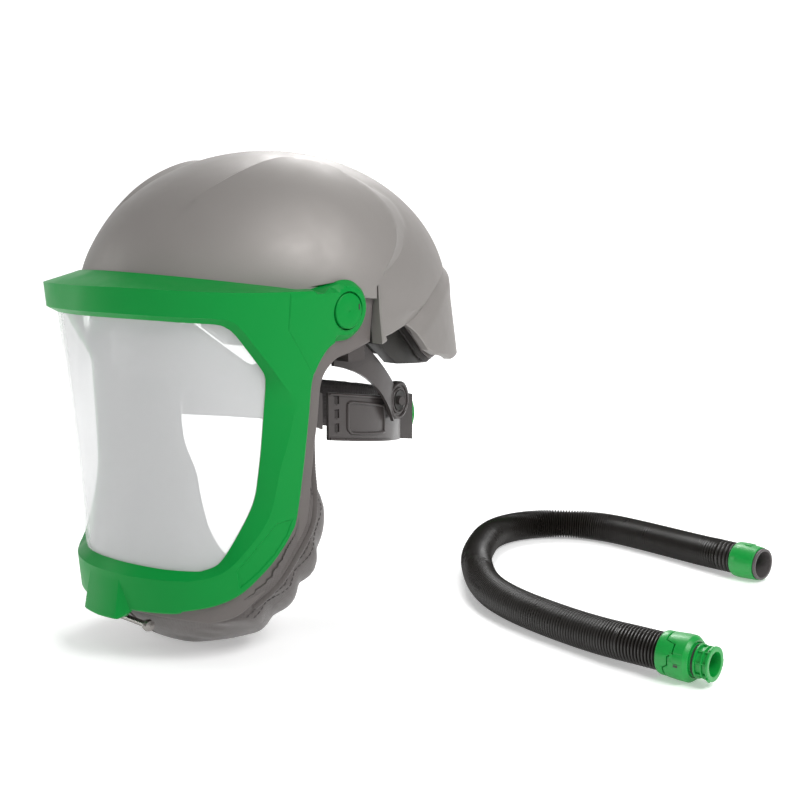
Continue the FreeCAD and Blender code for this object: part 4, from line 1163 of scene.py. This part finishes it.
def turned(profile, start, way, sides=72, bend=None):
    """Solid of revolution of a closed (radius, height) profile about a level axis."""
    across, up = cross_axes(way)
    verts, faces = [], []
    for k in range(sides):
        t = 2 * math.pi * k / sides
        for r, h in profile:
            rr, hh = bend(r, h, t) if bend else (r, h)
            verts.append(start + way * hh + rr * (math.cos(t) * across + math.sin(t) * up))
    count = len(profile)
    for k in range(sides):
        nxt = (k + 1) % sides
        for i in range(count):
            j = (i + 1) % count
            faces.append((k * count + i, nxt * count + i, nxt * count + j, k * count + j))
    return verts, faces


def rounded(profile, radius):
    """Closed profile with its corners cut by small facets."""
    out = []
    pts = [np.array(p, float) for p in profile]
    for i, p in enumerate(pts):
        a, b = pts[i - 1], pts[(i + 1) % len(pts)]
        da, db = a - p, b - p
        la, lb = np.linalg.norm(da), np.linalg.norm(db)
        cut = min(radius, la * 0.4, lb * 0.4)
        first, last = p + da / la * cut, p + db / lb * cut
        out += [first, (first + last) / 4 + p / 2, last]
    return out


def lump(start, way, radius, angle, low, high, width, tall):
    """A small raised block on a turned part."""
    across, up = cross_axes(way)
    verts = []
    for r, shrink in ((radius - 0.6, 0), (radius + tall * 0.7, 0), (radius + tall, 0.25)):
        for h, side in ((low + shrink, -1), (low + shrink, 1), (high - shrink, 1), (high - shrink, -1)):
            t = angle + side * (width / 2 - shrink) / radius
            verts.append(start + way * h + r * (math.cos(t) * across + math.sin(t) * up))
    faces = [(0, 1, 2, 3), (8, 11, 10, 9)]
    for ring in (0, 4):
        faces += [(ring + i, ring + 4 + i, ring + 4 + (i + 1) % 4, ring + (i + 1) % 4) for i in range(4)]
    return verts, faces


def lumps(end, radius, angles, low, high, width, tall):
    """The same raised block at several angles, in degrees, on one end of the tube."""
    return [lump(*end, radius, math.radians(a), low, high, width, tall) for a in angles]


SEAM_STEPS = ((0, 0.0), (46, 0.0), (54, 3.4), (78, 3.4), (86, 6.4), (112, 6.4), (120, 0.0), (166, 0.0),
              (174, 3.4), (198, 3.4), (206, 6.4), (232, 6.4), (240, 0.0), (286, 0.0), (294, 3.4), (318, 3.4),
              (326, 6.4), (352, 6.4), (360, 0.0))
SEAM_TURN = 66.0

# closed outlines of the turned pieces: radius, height along the end
CUFF = ((0.5, 0), (13.7, 0), (14.2, 1.2), (14.2, 7.6), (12.6, 7.8), (12.6, 12), (0.5, 12))
COLLAR = ((12.9, 8.3), (14.1, 8.3), (14.5, 8.9), (14.9, 13.4), (14.9, 19.6), (12.8, 22.4), (11.2, 22.4),
          (11.2, 16.6), (12.9, 16.6))
NOZZLE = ((7.8, 12.3), (10.8, 12.3), (10.8, 22.8), (9.3, 23), (9.3, 24.4), (11, 24.6), (11, 25.8), (9.3, 26),
          (9.3, 29.2), (10.6, 29.4), (10.6, 30.4), (9.3, 30.6), (9.3, 32.9), (11, 33.1), (11, 34.6),
          (7.8, 34.6))
# dark ring that fills the nozzle's groove: painted shade inside the groove
NOZZLE_GROOVE_SHADE = ((9.35, 23.1), (10.4, 23.1), (10.4, 24.2), (9.35, 24.2))
FAR_COLLAR = ((0.5, 0), (13, 0), (13.9, 1.4), (14.2, 6), (13.1, 20.8), (12.8, 21.4), (11.9, 21.4),
              (11.9, 3.5), (0.5, 3.5))
FAR_RING = ((10.4, 5), (11.6, 5), (11.6, 21.8), (12.4, 21.8), (12.4, 24), (10.4, 24))


def seam(turn):
    """How far the stepped seam between cuff and collar stands forward at an angle."""
    degrees = (math.degrees(turn) + SEAM_TURN) % 360
    return float(np.interp(degrees, [a for a, _ in SEAM_STEPS], [h for _, h in SEAM_STEPS])) - 2.4


def cuff_bend(r, h, t):
    return (r, h + seam(t)) if 6.5 < h < 8.5 and r > 12.7 else (r, h)


def collar_bend(r, h, t):
    return (r, h + seam(t)) if h < 9.4 else (r, h)


def make_near_end(materials):
    green, rubber = materials["connector"], materials["rubber"]
    cuff = turned(rounded(CUFF, 0.4), *NEAR_END, 180, cuff_bend)
    collar = [turned(rounded(COLLAR, 0.35), *NEAR_END, 180, collar_bend)]
    collar += lumps(NEAR_END, 14.5, (10, 130, 250), 13.2, 19.2, 7.5, 0.55)
    collar += lumps(NEAR_END, 14.6, (10, 130, 250), 10.8, 12.6, 5.5, 0.5)
    # thin dark patches on the collar: painted shade inside its windows
    window_shades = lumps(NEAR_END, 14.5, (-6, 114, 234), 13.6, 17.0, 2.6, 0.5)
    nozzle = [turned(rounded(NOZZLE, 0.25), *NEAR_END, 96)]
    nozzle += lumps(NEAR_END, 9.2, range(10, 370, 45), 24.4, 33.2, 0.9, 1.3)
    nozzle += lumps(NEAR_END, 10.4, (70, 190, 310), 33.0, 34.5, 4, 1.6)
    # dark ring in the nozzle's groove, as painted shade of the groove
    seal = turned(NOZZLE_GROOVE_SHADE, *NEAR_END, 72)
    return [
        finished("hose_cuff", *cuff, green, "tube", "connector_green", sharp=25, replaces=("near_cuff",)),
        finished("hose_collar", *joined(collar), green, "near_collar", "connector_green", sharp=22,
                 replaces=("near_collar",)),
        finished("collar_window_shade", *joined(window_shades), rubber, "near_collar", "connector_green"),
        finished("hose_nozzle", *joined(nozzle), green, "tube", "connector_green", sharp=25,
                 replaces=("near_nozzle",)),
        finished("nozzle_groove_shade", *seal, rubber, "tube", "hose_rubber"),
    ]


def make_far_end(materials):
    collar = [turned(rounded(FAR_COLLAR, 0.5), *FAR_END, 120)]
    collar += lumps(FAR_END, 13.75, (78, 102), 8.5, 13.5, 1.4, 0.55)
    collar += lumps(FAR_END, 13.75, (90,), 12.6, 14.0, 7.2, 0.55)
    ring = [turned(rounded(FAR_RING, 0.4), *FAR_END, 96)]
    ring += lumps(FAR_END, 12.2, range(0, 360, 30), 22.1, 23.6, 1.4, 0.35)
    return [
        finished("hose_far_collar", *joined(collar), materials["connector"], "tube", "connector_green",
                 sharp=25, replaces=("far_collar",)),
        finished("hose_far_ring", *joined(ring), materials["ring"], "far_ring", "ring_grey", sharp=25,
                 replaces=("far_ring",)),
    ]


# ---------------------------------------------------------------- harness details and soft parts

# name, CAD solid that it stands for, body
PADS = (("brow_foam", "brow_pad", "root"),
        ("nape_foam", "nape_pad", "nape"),
        ("crown_foam", "crown_pad", "root"))
# CAD solid, half span, height, direction
STRAPS = (("crown_strap_long", 108.0, 90.0, "Y"), ("crown_strap_cross", 86.0, 88.0, "X"))
STRAP_CENTRE_Y = 24.0
STRAP_WIDTH = 20.0
STRAP_THICK = 1.5


PUFF_REACH = 1.4
PUFF_FRAMES = 15
PAD_VOXEL = 0.0035
PAD_SHRINK = 0.0008


def puffed(pad):
    """Swells a pad under cloth pressure, each point by no more than the reach."""
    start = [v.co.copy() for v in pad.data.vertices]
    cloth = pad.modifiers.new("puff", "CLOTH")
    cloth.settings.use_pressure = True
    cloth.settings.uniform_pressure_force = 4
    cloth.settings.effector_weights.gravity = 0
    for number in range(1, PUFF_FRAMES + 1):
        scene.frame_set(number)
    shape = pad.evaluated_get(bpy.context.evaluated_depsgraph_get()).to_mesh()
    moved = [v.co.copy() for v in shape.vertices]
    pad.modifiers.remove(cloth)
    for vertex, a, b in zip(pad.data.vertices, start, moved):
        step = b - a
        vertex.co = a + step * min(1.0, PUFF_REACH * MM / max(step.length, 1e-9))
    scene.frame_set(1)


def make_padding(name, node, material, body):
    """Foam pad: the CAD solid, remeshed and puffed out."""
    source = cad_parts[node]
    pad = source.copy()
    pad.data = source.data.copy()
    pad.name = name
    pad.parent = None
    scene.collection.objects.link(pad)
    for key in list(pad.keys()):
        del pad[key]
    pad.data.materials.clear()
    pad.data.materials.append(material)
    voxel = pad.modifiers.new("voxel", "REMESH")
    voxel.mode = "VOXEL"
    voxel.voxel_size = PAD_VOXEL
    bpy.context.view_layer.objects.active = pad
    bpy.ops.object.select_all(action="DESELECT")
    pad.select_set(True)
    bpy.ops.object.modifier_apply(modifier="voxel")
    for vertex in pad.data.vertices:
        vertex.co -= vertex.normal * PAD_SHRINK
    puffed(pad)
    for polygon in pad.data.polygons:
        polygon.use_smooth = True
    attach(pad, body)
    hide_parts(node)


def make_strap(name, half_span, height, direction, material):
    """Woven strap over the head: a thin arched band with a raised selvedge on both edges."""
    base_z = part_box(name)[0].z / MM
    flat, outer, inner, faces = [], [], [], []
    count, across = 90, 16
    for i in range(count + 1):
        t = math.pi * i / count
        along, up = half_span * math.cos(t), height * math.sin(t)
        way = np.array((math.cos(t) / half_span, math.sin(t) / height))
        way /= np.linalg.norm(way)
        for j in range(across + 1):
            s = -1 + 2 * j / across
            b = s * STRAP_WIDTH / 2
            rib = 0.25 * (abs(s) > 0.8) + 0.12 * math.sin(i * 1.9 + (j % 2) * math.pi)
            for store, lift in ((outer, STRAP_THICK / 2 + rib), (inner, -STRAP_THICK / 2)):
                a, z = along + way[0] * lift, up + way[1] * lift + base_z
                store.append((b, a + STRAP_CENTRE_Y, z) if direction == "Y" else (a, b + STRAP_CENTRE_Y, z))
            flat.append((b, i * 3.2))
    for i in range(count):
        for j in range(across):
            a = i * (across + 1) + j
            faces += [(a, a + 1, a + across + 2), (a, a + across + 2, a + across + 1)]
    verts, solid, uvs = walled(np.array(flat), np.array(faces), np.array(outer), np.array(inner))
    strap = finished(name + "_web", verts, solid, material, "root", "webbing", uvs, 50, (name,))


BOSS = np.array((77.6, 85.0, -70.0))
BOSS_LEAN = math.radians(14)
BOSS_RINGS = ((12.0, 1.0), (8.6, 0.9))
BOSS_CAP = ((0.3, -0.5), (7.2, -0.5), (7.2, 0.7), (5.6, 0.3), (3.2, 0.2), (2.4, 1.0), (0.3, 1.3))
NAPE_OUTLINE = ((31, 9.2), (34, 10.6), (68, 9.4), (72, 6.5), (72, -7.5), (68, -10.0), (34, -10.6), (31, -8.0),
                (31, 9.2))


def ringed(centre, way, radius, bar, turns=48):
    """Round bar bent into a ring about an axis."""
    way = way / np.linalg.norm(way)
    across, up = cross_axes(way)
    verts, faces = [], []
    for i in range(turns):
        t = 2 * math.pi * i / turns
        out = math.cos(t) * across + math.sin(t) * up
        for k in range(8):
            u = 2 * math.pi * k / 8
            verts.append(centre + out * (radius + bar * math.cos(u)) + way * bar * math.sin(u))
    for i in range(turns):
        for k in range(8):
            a, b = i * 8 + k, i * 8 + (k + 1) % 8
            c, d = ((i + 1) % turns) * 8 + (k + 1) % 8, ((i + 1) % turns) * 8 + k
            faces.append((a, b, c, d))
    return verts, faces


def band_point(y, drop, lift):
    """A point on the nape band's outside: how far back, and above or below its middle line."""
    x = 82.0 * math.sqrt(max(0.0, 1 - ((y - 30.0) / 108.0) ** 2)) + lift
    return np.array((x, y, -73.0 + (y - 14.0) * math.tan(math.radians(-8.5)) + drop))


def make_harness_trim(materials):
    """Concentric rings on the pivot bosses, the raised frame of the nape band, and dark blocks in its slots
    as painted shade.
    """
    rings, caps, frames, slot_shades = [], [], [], []
    for side in (1, -1):
        mirror = np.array((side, 1, 1))
        way = np.array((math.cos(BOSS_LEAN) * side, math.sin(BOSS_LEAN), 0))
        face = BOSS * mirror
        for radius, bar in BOSS_RINGS:
            rings.append(ringed(face + way * 0.2, way, radius, bar))
        caps.append(turned(BOSS_CAP, face + way * 0.4, way, 48))
        path = [band_point(y, d, 0.2) * mirror for y, d in smooth_line(NAPE_OUTLINE, 2.0)]
        frames.append(swept(path, 1.1, 8))
        for edge in (15.2, -15.2):
            path = [band_point(y, edge, 0.2) * mirror for y in np.arange(15, 84, 3.0)]
            frames.append(swept(path, 1.0, 8))
        # dark blocks in the band's three slots: painted shade of the openings
        for drop in (10.6, 1.1, -8.4):
            centre = band_point(21.0, drop, -1.2)
            slot_shades.append(swept([centre * mirror + (0, 0, z) for z in (-3.2, 0, 3.2)], 2.4, 4, 0.6))
    for name, parts, kind, body, sharp in (("nape_slot_shade", slot_shades, "rubber", "nape", 60),
                                           ("boss_rings", rings, "dark", "root", 60),
                                           ("boss_caps", caps, "black", "root", 40),
                                           ("nape_frame", frames, "dark", "nape", 60)):
        finished(name, *joined(parts), materials[kind], body, "harness_grey", sharp=sharp)


PLAIN = {
    "rubber": ("brow_gasket", "inlet_gasket"),
    "seal": ("inlet_flange",),
    "black": ("air_plenum", "air_inlet_socket"),
    "dark": ("headband", "hanger_arm_left", "hanger_arm_right", "arm_anchor_left", "arm_anchor_right",
             "boss_pin_left", "boss_pin_right", "nape_band", "ratchet_housing", "strap_clips"),
    "knob": ("ratchet_knob",),
    "metal": ("hinge_pin_left", "hinge_pin_right", "chin_catch"),
}


def dress_plain(materials):
    """Hard parts whose CAD shape is already the real one only get their material."""
    for kind, names in PLAIN.items():
        for name in names:
            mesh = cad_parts[name].data
            mesh.materials.clear()
            mesh.materials.append(materials[kind])


CAP = ((0.3, 112.9), (11.35, 112.9), (11.35, 115.7), (10.7, 116.2), (0.3, 116.5))


def make_caps(materials):
    """Round covers that sit flush in the ears, each with a dark bar as painted shade of a small turning slot.
    """
    for side, name in ((1, "left"), (-1, "right")):
        body = "cap_" + name
        cap = turned(rounded(CAP, 0.2), np.zeros(3), np.array((float(side), 0, 0)), 96)
        finished(body + "_cover", *cap, materials["green"], body, "visor_green", sharp=30,
                 replaces=("pivot_cap_" + name,))
        # dark bar on the cap's face: painted shade of the turning slot
        slot_shade_bar = swept([(side * 116.2, 8.6, z) for z in (0.4, 2.2, 4.0)], 0.5, 8)
        finished(body + "_slot", *slot_shade_bar, materials["rubber"], body, "visor_green", sharp=60)


def make_floor(material):
    """Paper sweep: a level floor that curves up into a wall far behind."""
    half, behind, bend, tall = 3.6, 2.4, 0.9, 3.2
    profile = [(-2.2, 0.0), (0.0, 0.0), (behind, 0.0)]
    profile += [(behind + bend * math.sin(t), bend * (1 - math.cos(t)))
                for t in [math.pi / 2 * i / 12 for i in range(1, 13)]]
    profile.append((behind + bend, tall))
    back = Vector((LOOK.x, LOOK.y, 0)).normalized()
    side = Vector((-back.y, back.x, 0))
    verts, faces = [], []
    for reach, rise in profile:
        for edge in (-half, half):
            verts.append(back * reach + side * edge + Vector((0, 0, FLOOR_Z + rise)))
    for i in range(len(profile) - 1):
        faces.append((2 * i, 2 * i + 1, 2 * i + 3, 2 * i + 2))
    mesh = bpy.data.meshes.new("floor")
    mesh.from_pydata(verts, [], faces)
    for polygon in mesh.polygons:
        polygon.use_smooth = True
    mesh.materials.append(material)
    floor = bpy.data.objects.new("floor", mesh)
    scene.collection.objects.link(floor)


make_camera()
make_studio()
materials = make_materials()
make_floor(materials["floor"])
hose, hose_line, hose_length = make_tube(materials)
ends = make_near_end(materials) + make_far_end(materials)
dress_plain(materials)
make_crown(materials)
make_visor_frame(materials)
make_lens(materials)
make_caps(materials)
make_seal_frame(materials)
seal_cloth, seal_area = make_seal(materials)
piping = make_piping(materials)
stitches = make_seal_stitches(materials)
make_harness_trim(materials)
for pad_name, padded_node, pad_body in PADS:
    make_padding(pad_name, padded_node, materials["pad"], pad_body)
for strap in STRAPS:
    make_strap(*strap, materials["webbing"])
